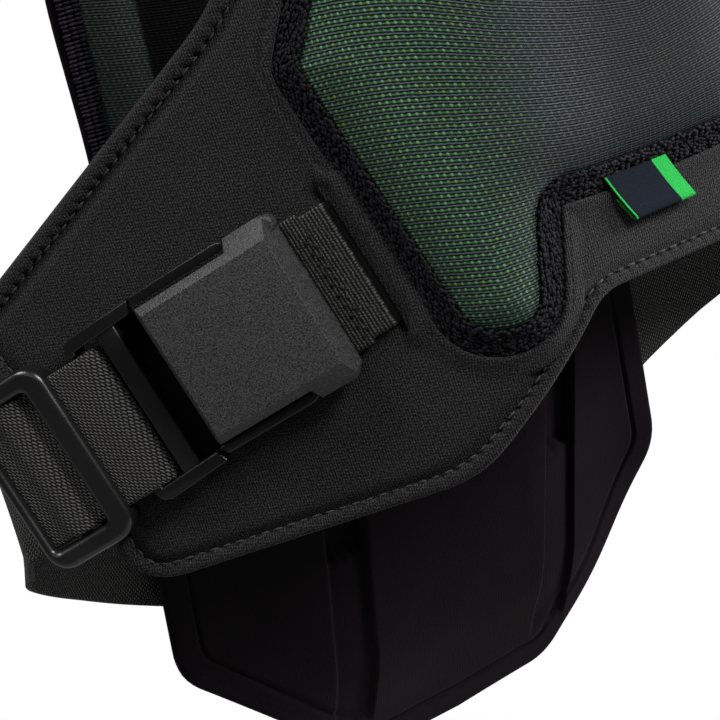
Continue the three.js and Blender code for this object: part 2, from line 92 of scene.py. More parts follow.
WEBBING = Sizes(width=42.0, thickness=2.0, shift=-2.5)
# From sunk_from on, where the tab runs down into its slot, it is painted near-black as the slot's shade
TAB = Sizes(width=40.0, neck=37.5, neck_from=27.5, thickness=1.8, sunk_from=35.5, rib=1.05, relief=0.35)
ZIGZAG = Sizes(place=27.0, swing=0.75, start=-17.0, end=14.5, step=1.6, lift=0.35)
STRAP_BOX = Sizes(start=3.0, end=17.0, margin=3.0, lift=0.15)
SHOULDER = Sizes(width=32.0, thickness=5.0, place=58.0, clear=1.0, margin=4.0, lift=0.1, centre=(10, -100))
LABEL = Sizes(
    width=22.0, drop=12.6, start=2.5, lean=0.55, thickness=0.45, centre=-9.0,
    fold=0.9, lift=1.6, root=2.3, fall=1.2, rest=0.35,
)

# Threads: pitch, length and thickness of a stitch, and how loosely it lies
EDGE_STITCH = Sizes(pitch=3.9, length=2.7, thickness=0.75, loose=0.05)
KNOT = Sizes(pitch=1.2, length=1.6, thickness=1.1, loose=0.3)
OVERLOCK_STITCH = Sizes(pitch=2.3, length=3.0, thickness=0.9, loose=0.14)
BOX_STITCH = Sizes(pitch=2.6, length=2.3, thickness=0.7, loose=0.05)
ZIGZAG_STITCH = Sizes(pitch=1.1, length=1.3, thickness=0.75, loose=0.12)
SHOULDER_STITCH = Sizes(pitch=3.4, length=2.7, thickness=0.75, loose=0.05)
FRONT_STITCH = Sizes(inset=3.85, lift=-0.5)

# Sewn band of the front pad, as distance out from the pad and height over the panel: knots, and their base
KNOT_ROWS = [
    (6.0, 0.7), (5.0, 1.15), (4.0, 1.6), (3.0, 2.05), (2.1, 2.5), (1.2, 3.0), (0.4, 3.5), (-0.4, 4.0),
]
KNOT_BASE = [
    (6.5, 0), (5.6, 0.35), (4.2, 0.9), (2.8, 1.45), (1.6, 2.05),
    (0.6, 2.65), (-0.3, 3.3), (-0.8, 3.2), (0.3, 0.1),
]

# Grids: columns over half a piece, rows on its face and lining, and close rows by its edge
FRONT_GRID = Sizes(columns=230, rows=130, lining_rows=8)
BACK_GRID = Sizes(columns=180, rows=130, outer_rows=24)
UNDER_ROWS = 6
EDGE_STEPS = [0, 0.5, 1.5, 2.8, 3.8, 4.5, 5.2, 6.0, 6.9, 7.9, 9.0]
LINING_STEPS = [0, 0.25, 0.9, 2.0]
DOME_STEPS = [0, 0.05, 0.25, 0.6, 1.2, 2.0, 3.0, 4.2, 5.6, 7.2, 9]
UNDER_STEPS = [0, 0.2, 0.8]
OUTER_STEPS = [0, 0.1, 0.5, 1.2, 2.2, 3.2, 3.9, 4.6, 6]
TAIL_STEPS = [
    0, 0.06, 0.22, 0.5, 0.85, 1.25, 1.7, 2.2, 3, 4.5, 6.5, 8.2, 9.2, 9.8, 10.3, 10.8, 11.4, 12.2, 13.4,
]

# Edges of the panels on the right side, at minus x: x, z, rounding of the corner
FRONT_LOWER = [
    (-155.5, -301, 0),
    (-145, -348, 11),
    (-70, -325.7, 9),
    (-27, -285, 6),
    (0, -285, 0),
]
FRONT_UPPER = [
    (-155.5, -301, 0),
    (-164, -270.8, 7),
    (-83, -186.5, 24),
    (-77, -95, 20),
    (-75, -48, 9),
    (-40, -46, 9),
    (-33, -76, 13),
    (-14, -90, 9),
    (0, -90, 0),
]
PAD_LOWER = [
    (-79.35, -213.5, 0),
    (-62, -288, 8),
    (-46, -287.5, 8),
    (-38.5, -252.5, 8),
    (0, -253.5, 0),
]
PAD_UPPER = [
    (-79.35, -213.5, 0),
    (-60, -165, 20),
    (-57, -104, 13),
    (-30, -101, 9),
    (-13, -110, 8),
    (0, -110, 0),
]
BACK_LOWER = [
    (-103.7, -436.7, 0),
    (-45, -498, 9),
    (0, -500, 0),
]
BACK_UPPER = [
    (-103.7, -436.7, 0),
    (-112, -428, 10),
    (-108.2, -342.5, 30),
    (-98, -262, 30),
    (-101.5, -180, 30),
    (-84, -95, 30),
    (-78, -24, 10),
    (-40, -22, 10),
    (-33, -40, 10),
    (-15, -50, 8),
    (0, -50, 0),
]
LINING_LOWER = [
    (-91, -259.5, 0),
    (-93, -328, 14),
    (0, -328, 0),
]
LINING_UPPER = [
    (-91, -259.5, 0),
    (-92, -180, 20),
    (-78, -112, 14),
    (0, -108, 0),
]
# Rows of the pads' mesh: distance from the middle, rise of a row there, spacing, open green share, painted
# light (lighter or darker by place, as light falls on the dome)
MESH_ROWS = [
    (0, 0.06, 1.36, 0.2, 0.75),
    (12, 0.115, 1.40, 0.10, 0.82),
    (22, 0.14, 1.46, 0.08, 1.1),
    (32, 0.215, 1.54, 0.10, 1.5),
    (40, 0.245, 1.59, 0.22, 1.42),
    (47, 0.25, 1.68, 0.50, 1.25),
    (53, 0.21, 1.75, 0.85, 1.22),
    (60, 0.11, 1.77, 1.0, 1.25),
    (66, -0.02, 1.78, 1.0, 1.32),
    (80, -0.24, 1.80, 1.0, 1.35),
]
LINING_ROWS = [
    (0, 0.0, 1.78, 0.3, 1.2),
    (40, 0.0, 1.78, 0.3, 1.2),
    (75, 0.15, 1.78, 0.3, 1.2),
    (110, 0.15, 1.78, 0.3, 1.2),
]
MESH = Sizes(
    level=-231.0, dot=1.73, drift=0.23, reach=110.0, origin=(200, 300), line=0.2, line_edge=(0.17, 0.06),
    loop=0.69, loop_edge=(0.3, 0.13), ground_edge=(0.2, 0.08),
)

# Routes: elastic strap by the buckle (along, height), round the side (x, y, z, tilt), tab (along, height)
STRAP_NEAR = [
    (-80.5, 5.2),
    (-75.5, 5.9),
    (-72, 7.4),
    (-68, 7.4),
    (-64.5, 5.8),
    (-59, 5.2),
    (-53, 5.4),
    (-47, 6.1),
    (-42, 6.0),
    (-39.3, 4.6),
    (-39.3, 2.9),
    (-42, 1.6),
    (-52, 1.5),
    (-66, 1.5),
    (-80, 1.8),
]
STRAP_ROUND = [
    (-164.5, 34, -321, 0),
    (-159, 47, -334, -0.15),
    (-146, 59, -348, 0.12),
    (-128, 71.5, -364.2, 0.36),
    (-109, 79.2, -378.6, 0.45),
    (-93, 79.3, -387, 0.45),
    (-76, 79.9, -394, 0.45),
]
TAB_PATH = [
    (8, 1.5),
    (20, 1.5),
    (33.2, 1.5),
    (35.2, 1.0),
    (36.1, -0.6),
    (36.4, -3.8),
    (39.4, -5.9),
    (46.5, -6.2),
]
SHOULDER_ON_BACK = [-88, -66, -42]
SHOULDER_OVER = [
    (41, -8, 0),
    (15, 4, -0.06),
    (-13, -3, -0.2),
    (-31.5, -22, -0.36),
]
SHOULDER_ON_FRONT = [-48, -68, -88]


# Surfaces of the vest as y over x and z
def smoothstep(value, low, high):
    part = np.clip((value - low) / (high - low), 0, 1)
    return part * part * (3 - 2 * part)


def front_y(x, z):
    eased = np.where(z > CHEST.start, CHEST.start + (z - CHEST.start) * CHEST.lean, z)
    turn = math.radians(WING_PLANE.turn)
    centre = CENTRE_PLANE.y + math.tan(math.radians(CENTRE_PLANE.lean)) * (eased - CENTRE_PLANE.z)
    lean = math.tan(math.radians(WING_PLANE.lean)) / math.cos(turn)
    wing = WING_PLANE.y + math.tan(turn) * (np.abs(x) - WING_PLANE.x) + lean * (eased - WING_PLANE.z)
    overlap = np.maximum(RIDGE_BLEND - np.abs(centre - wing), 0) / RIDGE_BLEND
    blended = np.maximum(centre, wing) + overlap * overlap * RIDGE_BLEND / 4
    return centre + (blended - centre) * (1 - CHEST.flatten * smoothstep(z, CHEST.start, CHEST.end))


def back_outer_y(x, z):
    above = np.maximum(z - BACK_PLANE.bend_from, 0)
    return BACK_PLANE.y - BACK_PLANE.curve * x * x - BACK_PLANE.bend * above * above


def back_inner_y(x, z):
    reach = np.abs(x)
    padded = 1 - smoothstep(reach, BACK.pad_start, BACK.pad_end)
    low = smoothstep(z, BACK_LOWER[-1][1], CHANNEL.end + TAIL_FADE)
    top = 1 - smoothstep(z, BACK_PLANE.bend_from, BACK_UPPER[-1][1])
    middle = CHANNEL.top + CHANNEL.drift * (z - CHANNEL.start)
    leant = np.abs(x - CHANNEL.lean * (z - CHANNEL.even))
    floor = 1 - smoothstep(np.abs(leant - middle), CHANNEL.half - CHANNEL.wall, CHANNEL.half)
    ends = smoothstep(-z, -CHANNEL.start, CHANNEL.fade - CHANNEL.start)
    ends = ends * smoothstep(z, CHANNEL.end, CHANNEL.end + CHANNEL.fade)
    depth = CHANNEL_DEPTH
    deeper = smoothstep(z, depth.step - depth.blend, depth.step + depth.blend)
    channel = (depth.low + (depth.high - depth.low) * deeper) * floor * ends
    return back_outer_y(x, z) - BACK.thickness - BACK.pad_depth * padded * low * top + channel


def unit(vectors):
    return vectors / np.linalg.norm(vectors, axis=-1, keepdims=True)


def facing(surface, x, z):
    step = 0.5
    slope_x = (surface(x + step, z) - surface(x - step, z)) / (2 * step)
    slope_z = (surface(x, z + step) - surface(x, z - step)) / (2 * step)
    return unit(np.stack([slope_x, -np.ones_like(slope_x), slope_z], axis=-1))


def lifted(surface, flat, height):
    x, z = flat[..., 0], flat[..., 1]
    foot = np.stack([x, surface(x, z), z], axis=-1)
    return foot + facing(surface, x, z) * np.broadcast_to(height, x.shape)[..., None]


# The buckle's own frame on the right wing: along the strap, across it, outwards
def buckle_axes():
    turn, lean = math.radians(WING_PLANE.turn), math.radians(WING_PLANE.lean)
    level = np.array([math.cos(turn), -math.sin(turn), 0])
    out = np.array([-math.sin(turn) * math.cos(lean), -math.cos(turn) * math.cos(lean), math.sin(lean)])
    rise = np.cross(out, level)
    swing = math.radians(BUCKLE.turn)
    along = level * math.cos(swing) + rise * math.sin(swing)
    across = np.cross(out, along)
    seat = np.array([-WING_PLANE.x, WING_PLANE.y, WING_PLANE.z])
    return along, across, out, seat + along * BUCKLE.along + across * BUCKLE.across


ALONG, ACROSS, OUT, SEAT = buckle_axes()


def on_wing(rows):
    rows = np.asarray(rows, float)
    return SEAT + rows[..., 0:1] * ALONG + rows[..., 1:2] * ACROSS + rows[..., 2:3] * OUT


# Edges, patches and paths
def run_along(points):
    return np.concatenate([[0], np.cumsum(np.linalg.norm(np.diff(points, axis=0), axis=1))])


# Length over a surface along a row of x at one height
def run_over(surface, x, z):
    slope = np.gradient(surface(x, np.full_like(x, z)), x)
    return np.concatenate([[0], np.cumsum(np.hypot(1, slope)[1:] * np.diff(x))])


def spaced(points, count):
    run = run_along(points)
    at = np.linspace(0, run[-1], count + 1)
    return np.stack([np.interp(at, run, points[:, k]) for k in range(points.shape[1])], axis=1)


def path_length(points):
    return float(np.linalg.norm(np.diff(points, axis=0), axis=1).sum())


def rounded_edge(rows, count):
    points = [np.array(rows[0][:2], float)]
    part = np.linspace(0, 1, 13)[:, None]
    for before, row, after in zip(rows, rows[1:], rows[2:]):
        corner = np.array(row[:2], float)
        back = np.array(before[:2]) - corner
        on = np.array(after[:2]) - corner
        start = corner + back * row[2] / np.linalg.norm(back)
        end = corner + on * row[2] / np.linalg.norm(on)
        points.extend((1 - part) ** 2 * start + 2 * part * (1 - part) * corner + part * part * end)
    points.append(np.array(rows[-1][:2], float))
    return spaced(np.array(points), count)


def half_outline(lower, upper, step):
    low = rounded_edge(lower, 400)
    high = rounded_edge(upper, 400)
    line = np.concatenate([low[::-1], high[1:]])
    return spaced(line, int(path_length(line) / step))


def full_outline(lower, upper, step):
    half = half_outline(lower, upper, step)
    other = half[-2:0:-1] * np.array([-1, 1])
    return np.concatenate([half, other])


# Columns from the lower to the upper edge over both halves, with close rows by the edges
def patch(lower, upper, columns, edge_steps, middle_rows):
    low = rounded_edge(lower, columns)
    high = rounded_edge(upper, columns)
    length = np.maximum(np.linalg.norm(high - low, axis=1), 1e-6)
    steps = np.asarray(edge_steps, float)
    near = steps[None] * np.minimum(1 / length, 1 / (2.6 * steps[-1]))[:, None]
    share = np.linspace(0, 1, middle_rows + 2)[1:-1][None]
    middle = near[:, -1:] + (1 - 2 * near[:, -1:]) * share
    fraction = np.concatenate([near, middle, 1 - near[:, ::-1]], axis=1)[..., None]
    half = low[:, None] * (1 - fraction) + high[:, None] * fraction
    other = half[-2::-1] * np.array([-1, 1])
    return np.concatenate([half, other])


# Distance from the edge of a panel, and the run along that edge, for flat points of a patch
def edge_field(flat, lower, upper):
    line = half_outline(lower, upper, 0.15)
    run = run_along(line)
    tree = KDTree(len(line))
    for index, (x, z) in enumerate(line):
        tree.insert((x, z, 0), index)
    tree.balance()
    found = [tree.find((-abs(x), z, 0)) for x, z in flat.reshape(-1, 2)]
    away = np.array([row[2] for row in found]).reshape(flat.shape[:2])
    along = run[[row[1] for row in found]].reshape(flat.shape[:2])
    away[:, 0] = 0
    away[:, -1] = 0
    return away, along


def rolled(away, radius):
    part = np.clip(1 - away / radius, 0, 1)
    return np.sqrt(1 - part * part)


def smooth_path(points, per_span):
    points = np.asarray(points, float)
    padded = np.concatenate([2 * points[:1] - points[1:2], points, 2 * points[-1:] - points[-2:-1]])
    part = np.linspace(0, 1, per_span, endpoint=False)[:, None]
    made = []
    for a, b, c, d in zip(padded, padded[1:], padded[2:], padded[3:]):
        square = (2 * a - 5 * b + 4 * c - d) * part**2
        cube = (3 * b - a - 3 * c + d) * part**3
        made.append(0.5 * (2 * b + (c - a) * part + square + cube))
    return np.concatenate([*made, points[-1:]])


# Meshes
def in_scene(name, data):
    piece = bpy.data.objects.new(name, data)
    bpy.context.scene.collection.objects.link(piece)
    return piece


def mesh_piece(name, points, faces, uv=None, sharp=None):
    mesh = bpy.data.meshes.new(name)
    mesh.from_pydata((np.asarray(points).reshape(-1, 3) * MM).tolist(), [], faces)
    if uv is not None:
        layer = mesh.uv_layers.new(name="cloth")
        corner = np.empty(len(mesh.loops), np.int32)
        mesh.loops.foreach_get("vertex_index", corner)
        layer.data.foreach_set("uv", np.asarray(uv, np.float32).reshape(-1, 2)[corner].ravel())
    work = bmesh.new()
    work.from_mesh(mesh)
    bmesh.ops.remove_doubles(work, verts=work.verts, dist=1e-6)
    bmesh.ops.dissolve_degenerate(work, edges=work.edges, dist=1e-7)
    bmesh.ops.recalc_face_normals(work, faces=work.faces)
    work.to_mesh(mesh)
    work.free()
    mesh.shade_smooth()
    if sharp:
        mesh.set_sharp_from_angle(angle=math.radians(sharp))
    return in_scene(name, mesh)


def grid_faces(columns, rows, first=0):
    corner = first + np.arange((columns - 1) * rows).reshape(columns - 1, rows)[:, :-1].ravel()
    return np.stack([corner, corner + rows, corner + rows + 1, corner + 1], axis=1)


# Closed shell of a face grid and a coarser lining grid that share their edge points
def shell(name, face, lining, face_uv, lining_uv):
    quads = grid_faces(*face.shape[:2]).tolist()
    quads += grid_faces(*lining.shape[:2], first=face.shape[0] * face.shape[1])[:, ::-1].tolist()
    points = np.concatenate([face.reshape(-1, 3), lining.reshape(-1, 3)])
    uv = np.concatenate([face_uv.reshape(-1, 2), lining_uv.reshape(-1, 2)])
    return mesh_piece(name, points, quads, uv)


def ring_faces(rings, sides, closed):
    faces = []
    for i in range(rings if closed else rings - 1):
        for k in range(sides):
            a, b = i * sides, (i + 1) % rings * sides
            n = (k + 1) % sides
            faces.append((a + k, a + n, b + n, b + k))
    if not closed:
        faces.append(tuple(range(sides)))
        faces.append(tuple(range((rings - 1) * sides, rings * sides))[::-1])
    return faces


# Cross-section of a flat strap with round edges: place across and through, both as shares of the half size
def strap_section(width, thickness, steps):
    arc = np.linspace(-math.pi / 2, math.pi / 2, 7)
    flat = 1 - thickness / width
    side = np.linspace(-flat, flat, steps)[1:-1]
    turn = np.stack([flat + (1 - flat) * np.cos(arc), np.sin(arc)], axis=1)
    top = np.stack([side[::-1], np.ones_like(side)], axis=1)
    return np.concatenate([turn, top, -turn, -top])


def strap_axes(middles, sides):
    tangent = unit(np.gradient(middles, axis=0))
    side = unit(sides - tangent * (sides * tangent).sum(axis=1, keepdims=True))
    return side, np.cross(tangent, side)


def band(name, middles, sides, width, thickness, relief=0.0, steps=24):
    side, up = strap_axes(middles, sides)
    half = np.broadcast_to(width, len(middles))[:, None] / 2
    section = strap_section(half.max() * 2, thickness, steps)
    through = thickness / 2 + np.broadcast_to(relief, len(middles))[:, None]
    rings = middles[:, None] + side[:, None] * (section[None, :, 0] * half)[..., None]
    rings = rings + up[:, None] * (section[None, :, 1] * through)[..., None]
    run = run_along(middles)[:, None]
    uv = np.stack(np.broadcast_arrays(section[None, :, 0] * half, run), axis=-1)
    return mesh_piece(name, rings, ring_faces(len(middles), len(section), False), uv, sharp=60)


def mirror(mesh):
    mesh.transform(Matrix.Diagonal((-1, 1, 1, 1)))
    mesh.flip_normals()


def mirrored(piece, name):
    other = piece.copy()
    other.data = piece.data.copy()
    other.name = name
    other.data.name = name
    bpy.context.scene.collection.objects.link(other)
    mirror(other.data)
    return other


def joined(name, pieces):
    with bpy.context.temp_override(active_object=pieces[0], selected_editable_objects=pieces):
        bpy.ops.object.join()
    pieces[0].name = name
    pieces[0].data.name = name
    return pieces[0]


# Turns a piece with modifiers into a plain mesh
def settled(piece):
    view = bpy.context.evaluated_depsgraph_get()
    made = bpy.data.meshes.new_from_object(piece.evaluated_get(view))
    piece.modifiers.clear()
    old = piece.data
    piece.data = made
    bpy.data.meshes.remove(old)
    made.name = piece.name
    return piece


def carved(piece, tool, operation):
    change = piece.modifiers.new("carve", "BOOLEAN")
    change.operation = operation
    change.object = tool
    change.solver = "EXACT"
    settled(piece)
    bpy.data.objects.remove(tool)
    return piece


BEVEL_FROM = 28


def softened(piece, width, segments=4, sharp=12):
    change = piece.modifiers.new("soften", "BEVEL")
    change.width = width * MM
    change.segments = segments
    change.limit_method = "ANGLE"
    change.angle_limit = math.radians(BEVEL_FROM)
    settled(piece)
    piece.data.shade_smooth()
    piece.data.set_sharp_from_angle(angle=math.radians(sharp))
    return piece


# Moulded shapes in the buckle's frame
def prism(name, outline, low, high):
    outline = np.asarray(outline, float)
    count = len(outline)
    rings = [np.column_stack([outline, np.full(count, level)]) for level in (low, high)]
    return mesh_piece(name, on_wing(np.array(rings)), ring_faces(2, count, False), sharp=30)


def frustum(name, low_box, high_box, low, high):
    rings = []
    for box, level in ((low_box, low), (high_box, high)):
        rings.append(np.column_stack([box_outline(*box), np.full(4, level)]))
    return mesh_piece(name, on_wing(np.array(rings)), ring_faces(2, 4, False), sharp=30)


def box_outline(a0, a1, b0, b1):
    return [(a0, b0), (a1, b0), (a1, b1), (a0, b1)]


def rounded_box(a0, a1, b0, b1, radius, steps=5):
    arc = np.linspace(0, math.pi / 2, steps)
    low_a, high_a, low_b, high_b = a0 + radius, a1 - radius, b0 + radius, b1 - radius
    corners = ((high_a, high_b), (low_a, high_b), (low_a, low_b), (high_a, low_b))
    points = []
    for quarter, (a, b) in enumerate(corners):
        angle = arc + quarter * math.pi / 2
        points.extend(zip(a + radius * np.cos(angle), b + radius * np.sin(angle)))
    return points


# Node helpers
FLOAT = "NodeSocketFloat"
VECTOR = "NodeSocketVector"


def add_node(tree, kind, inputs=None, **settings):
    node = tree.nodes.new(kind)
    for name, value in settings.items():
        setattr(node, name, value)
    for key, value in (inputs or {}).items():
        if isinstance(value, bpy.types.NodeSocket):
            tree.links.new(value, node.inputs[key])
        else:
            node.inputs[key].default_value = value
    return node


def node_output(tree, kind, inputs=None, **settings):
    return add_node(tree, kind, inputs, **settings).outputs[0]


def maths(tree, operation, *values):
    return node_output(tree, "ShaderNodeMath", dict(enumerate(values)), operation=operation)


def colour_mix(tree, share, first, second, kind="MIX"):
    given = {0: share, 6: first, 7: second}
    return add_node(tree, "ShaderNodeMix", given, data_type="RGBA", blend_type=kind).outputs[2]


def noise(tree, place, scale, detail):
    return node_output(tree, "ShaderNodeTexNoise", {"Vector": place, "Scale": scale, "Detail": detail})


def remap(tree, value, low, high, to_low, to_high):
    return node_output(tree, "ShaderNodeMapRange", {0: value, 1: low, 2: high, 3: to_low, 4: to_high})


def ripple(tree, place, length):
    return maths(tree, "SINE", maths(tree, "DIVIDE", maths(tree, "MULTIPLY", place, math.tau), length))


def split(tree, place):
    return add_node(tree, "ShaderNodeSeparateXYZ", {0: place}).outputs


def painted(tree, name):
    return add_node(tree, "ShaderNodeAttribute", attribute_name=name).outputs["Fac"]


# A group's one vector input has no value of its own; its other inputs and its outputs are numbers
def new_group(name, inputs, outputs):
    tree = bpy.data.node_groups.new(name, "ShaderNodeTree")
    for label, value in inputs.items():
        kind = VECTOR if value is None else FLOAT
        socket = tree.interface.new_socket(name=label, in_out="INPUT", socket_type=kind)
        if value is not None:
            socket.default_value = value
    for label in outputs:
        tree.interface.new_socket(name=label, in_out="OUTPUT", socket_type=FLOAT)
    start = tree.nodes.new("NodeGroupInput")
    end = tree.nodes.new("NodeGroupOutput")
    return tree, start.outputs, end.inputs


def use_group(tree, group, inputs):
    return add_node(tree, "ShaderNodeGroup", inputs, node_tree=group).outputs


# Knitted cloth: fine wales with a stitch beat along them, uneven yarn, and slow wear
def knit_group():
    inputs = {"Place": None, "Wale": 0.7, "Course": 0.9, "Yarn": 1.5, "Contrast": 1.0}
    tree, given, out = new_group("knitted_cloth", inputs, ["Height", "Shade"])
    calc = partial(maths, tree)
    part = split(tree, given["Place"])
    wale = ripple(tree, part[0], given["Wale"])
    lean = calc("ADD", part[1], calc("MULTIPLY", wale, 0.18))
    course = ripple(tree, lean, given["Course"])
    slow = noise(tree, given["Place"], 0.06, 3.0)
    yarn = noise(tree, given["Place"], given["Yarn"], 2.0)
    loops = calc("ADD", calc("MULTIPLY", wale, 0.28), calc("MULTIPLY", course, 0.22))
    height = calc("ADD", loops, calc("MULTIPLY", calc("SUBTRACT", yarn, 0.5), 2.9))
    tree.links.new(height, out["Height"])
    wear = calc("MULTIPLY", calc("SUBTRACT", slow, 0.5), 0.7)
    shade = calc("ADD", calc("MULTIPLY_ADD", height, given["Contrast"], 1.0), wear)
    tree.links.new(calc("MAXIMUM", shade, 0.12), out["Shade"])
    return tree


# Woven strap: short raised threads in rows, each row set off from the next, with dark gaps between
def weave_group():
    inputs = {
        "Place": None, "Rib": 1.0, "Pick": 1.6, "Offset": 0.5,
        "Skew": 0.0, "Fuzz": 0.3, "Gap": 1.0, "Sharp": 1.0,
    }
    tree, given, out = new_group("woven_strap", inputs, ["Height", "Shade"])
    calc = partial(maths, tree)
    part = split(tree, given["Place"])
    skewed = calc("SUBTRACT", part[1], calc("MULTIPLY", part[0], given["Skew"]))
    skewed = calc("MULTIPLY_ADD", noise(tree, given["Place"], 0.8, 1.0), 0.5, skewed)
    row = calc("DIVIDE", skewed, given["Rib"])
    within = calc("SUBTRACT", calc("FRACT", row), 0.5)
    shift = calc("MULTIPLY", calc("FLOOR", row), given["Offset"])
    cell = calc("ADD", calc("DIVIDE", part[0], given["Pick"]), shift)
    across = calc("SUBTRACT", calc("FRACT", cell), 0.5)
    round_row = calc("POWER", calc("COSINE", calc("MULTIPLY", within, math.pi)), given["Sharp"])
    round_pick = calc("POWER", calc("COSINE", calc("MULTIPLY", across, math.pi)), 0.6)
    lost = calc("MULTIPLY", calc("SUBTRACT", 1.0, round_pick), given["Gap"])
    thread = calc("MULTIPLY", round_row, calc("SUBTRACT", 1.0, lost))
    fuzz = calc("SUBTRACT", noise(tree, given["Place"], 2.2, 3.0), 0.5)
    height = calc("ADD", thread, calc("MULTIPLY", fuzz, given["Fuzz"]))
    tree.links.new(height, out["Height"])
    tree.links.new(remap(tree, height, 0.32, 1.0, 0.02, 1.8), out["Shade"])
    return tree


# Fine grain of moulded plastic, and slow smudges of handling
def grain_group():
    inputs = {"Place": None, "Grain": 2600.0, "Smudge": 60.0, "Contrast": 0.8}
    tree, given, out = new_group("moulded_grain", inputs, ["Height", "Speck", "Handling"])
    grain = noise(tree, given["Place"], given["Grain"], 2.0)
    tree.links.new(grain, out["Height"])
    speck = remap(tree, grain, 0.33, 0.67, -1.0, 1.0)
    tree.links.new(maths(tree, "MULTIPLY_ADD", speck, given["Contrast"], 1.0), out["Speck"])
    tree.links.new(noise(tree, given["Place"], given["Smudge"], 5.0), out["Handling"])
    return tree


KNIT = knit_group()
WEAVE = weave_group()
GRAIN = grain_group()


def new_material(name, **sockets):
    material = bpy.data.materials.new(name)
    material.use_nodes = True
    tree = material.node_tree
    shader = tree.nodes["Principled BSDF"]
    for label, value in sockets.items():
        shader.inputs[label.replace("_", " ")].default_value = value
    return material, tree, shader


def cloth_place(tree):
    return add_node(tree, "ShaderNodeUVMap", uv_map="cloth").outputs[0]


def object_place(tree):
    return add_node(tree, "ShaderNodeTexCoord").outputs["Object"]


def tinted(tree, colour, shade):
    return colour_mix(tree, 1.0, (*colour, 1), shade, "MULTIPLY")


def bumped(tree, shader, height, distance):
    given = {"Height": height, "Distance": distance * MM, "Strength": 1.0}
    tree.links.new(node_output(tree, "ShaderNodeBump", given), shader.inputs["Normal"])


def cloth_material(name, group, colour, weave, relief, **sockets):
    material, tree, shader = new_material(name, **sockets)
    made = use_group(tree, group, {"Place": cloth_place(tree), **weave})
    tree.links.new(tinted(tree, colour, made["Shade"]), shader.inputs["Base Color"])
    bumped(tree, shader, made["Height"], relief)
    return material


def plastic_material(name, colour, grain, contrast, relief, rough, **sockets):
    material, tree, shader = new_material(name, **sockets)
    made = use_group(tree, GRAIN, {"Place": object_place(tree), "Grain": grain, "Contrast": contrast})
    tree.links.new(tinted(tree, colour, made["Speck"]), shader.inputs["Base Color"])
    tree.links.new(remap(tree, made["Handling"], 0.3, 0.7, *rough), shader.inputs["Roughness"])
    bumped(tree, shader, made["Height"], relief)
    return material


def thread_material(name, colour, **sockets):
    material, tree, shader = new_material(name, **sockets)
    fibre = noise(tree, object_place(tree), 1500.0, 3.0)
    shade = remap(tree, fibre, 0.3, 0.75, 0.45, 1.6)
    tree.links.new(tinted(tree, colour, shade), shader.inputs["Base Color"])
    bumped(tree, shader, fibre, 0.25)
    return material


# Colours of the spacer mesh: its threads where it is closed and where it is open to the green core
MESH_SHUT = Sizes(
    gap=(0.012, 0.015, 0.016, 1), thread=(0.038, 0.045, 0.046, 1), bead=(0.05, 0.058, 0.058, 1),
)
MESH_OPEN = Sizes(
    gap=(0.001, 0.016, 0.004, 1), thread=(0.045, 0.084, 0.058, 1), bead=(0.14, 0.3, 0.15, 1),
)
MESH_YELLOW = (0.17, 0.29, 0.04, 1)
MESH_GREY = (0.08, 0.087, 0.1)
# Near-black paint on the mesh further in than a set distance from its edge
MESH_DARK = (0.0025, 0.002, 0.0025, 1)


# Spacer mesh: a thin grey thread, a row of green loops on a thread of their own, and dark gaps between
def mesh_material(name):
    material, tree, shader = new_material(name, Roughness=0.9, Specular_IOR_Level=0.12)
    calc = partial(maths, tree)
    mix = partial(colour_mix, tree)
    place = cloth_place(tree)
    part = split(tree, place)
    openness = painted(tree, "openness")
    level = calc("MULTIPLY_ADD", noise(tree, place, 0.5, 1.0), 0.2, part[1])
    row = calc("FLOOR", level)
    step = calc("MULTIPLY_ADD", row, MESH.drift, part[0])
    wave = calc("MULTIPLY", calc("COSINE", calc("MULTIPLY", step, math.tau)), 0.025)
    within = calc("FRACT", calc("ADD", level, wave))
    from_line = calc("ABSOLUTE", calc("SUBTRACT", within, MESH.line))
    line = remap(tree, from_line, *MESH.line_edge, 0.0, 1.0)
    loop_x = calc("SUBTRACT", calc("FRACT", step), 0.5)
    loop_y = calc("SUBTRACT", within, MESH.loop)
    spread = calc("ADD", calc("MULTIPLY", loop_x, loop_x), calc("MULTIPLY", loop_y, loop_y))
    loop = remap(tree, calc("SQRT", spread), *MESH.loop_edge, 0.0, 1.0)
    ground = remap(tree, calc("ABSOLUTE", loop_y), *MESH.ground_edge, 0.0, 1.0)
    own = node_output(tree, "ShaderNodeCombineXYZ", {0: calc("FLOOR", step), 1: row})
    chance = add_node(tree, "ShaderNodeTexWhiteNoise", {"Vector": own}, noise_dimensions="2D").outputs
    lit = calc("MULTIPLY", loop, calc("MULTIPLY_ADD", chance["Value"], 0.7, 0.4))
    hue = add_node(tree, "ShaderNodeSeparateColor", {0: chance["Color"]}).outputs[1]
    green = mix(calc("POWER", hue, 4.0), MESH_OPEN.bead, MESH_YELLOW)
    gap = mix(openness, MESH_SHUT.gap, MESH_OPEN.gap)
    thread = mix(openness, MESH_SHUT.thread, MESH_OPEN.thread)
    bead = mix(openness, MESH_SHUT.bead, green)
    grey = tinted(tree, MESH_GREY, calc("MULTIPLY_ADD", noise(tree, place, 1.6, 2.0), 1.5, 0.25))
    colour = mix(ground, gap, thread)
    colour = mix(lit, colour, bead)
    colour = mix(line, colour, grey)
    # Painted light and shade: the mesh is lightened or darkened by its distance from the pad's middle, as
    # light falls on the dome
    colour = mix(1.0, colour, painted(tree, "painted_light"), "MULTIPLY")
    # The mesh is painted near-black further in than a set distance from the pad's edge
    colour = mix(painted(tree, "covered"), colour, MESH_DARK)
    tree.links.new(colour, shader.inputs["Base Color"])
    raised = calc("MAXIMUM", line, calc("MAXIMUM", loop, calc("MULTIPLY", ground, 0.6)))
    bumped(tree, shader, raised, 0.3)
    return material


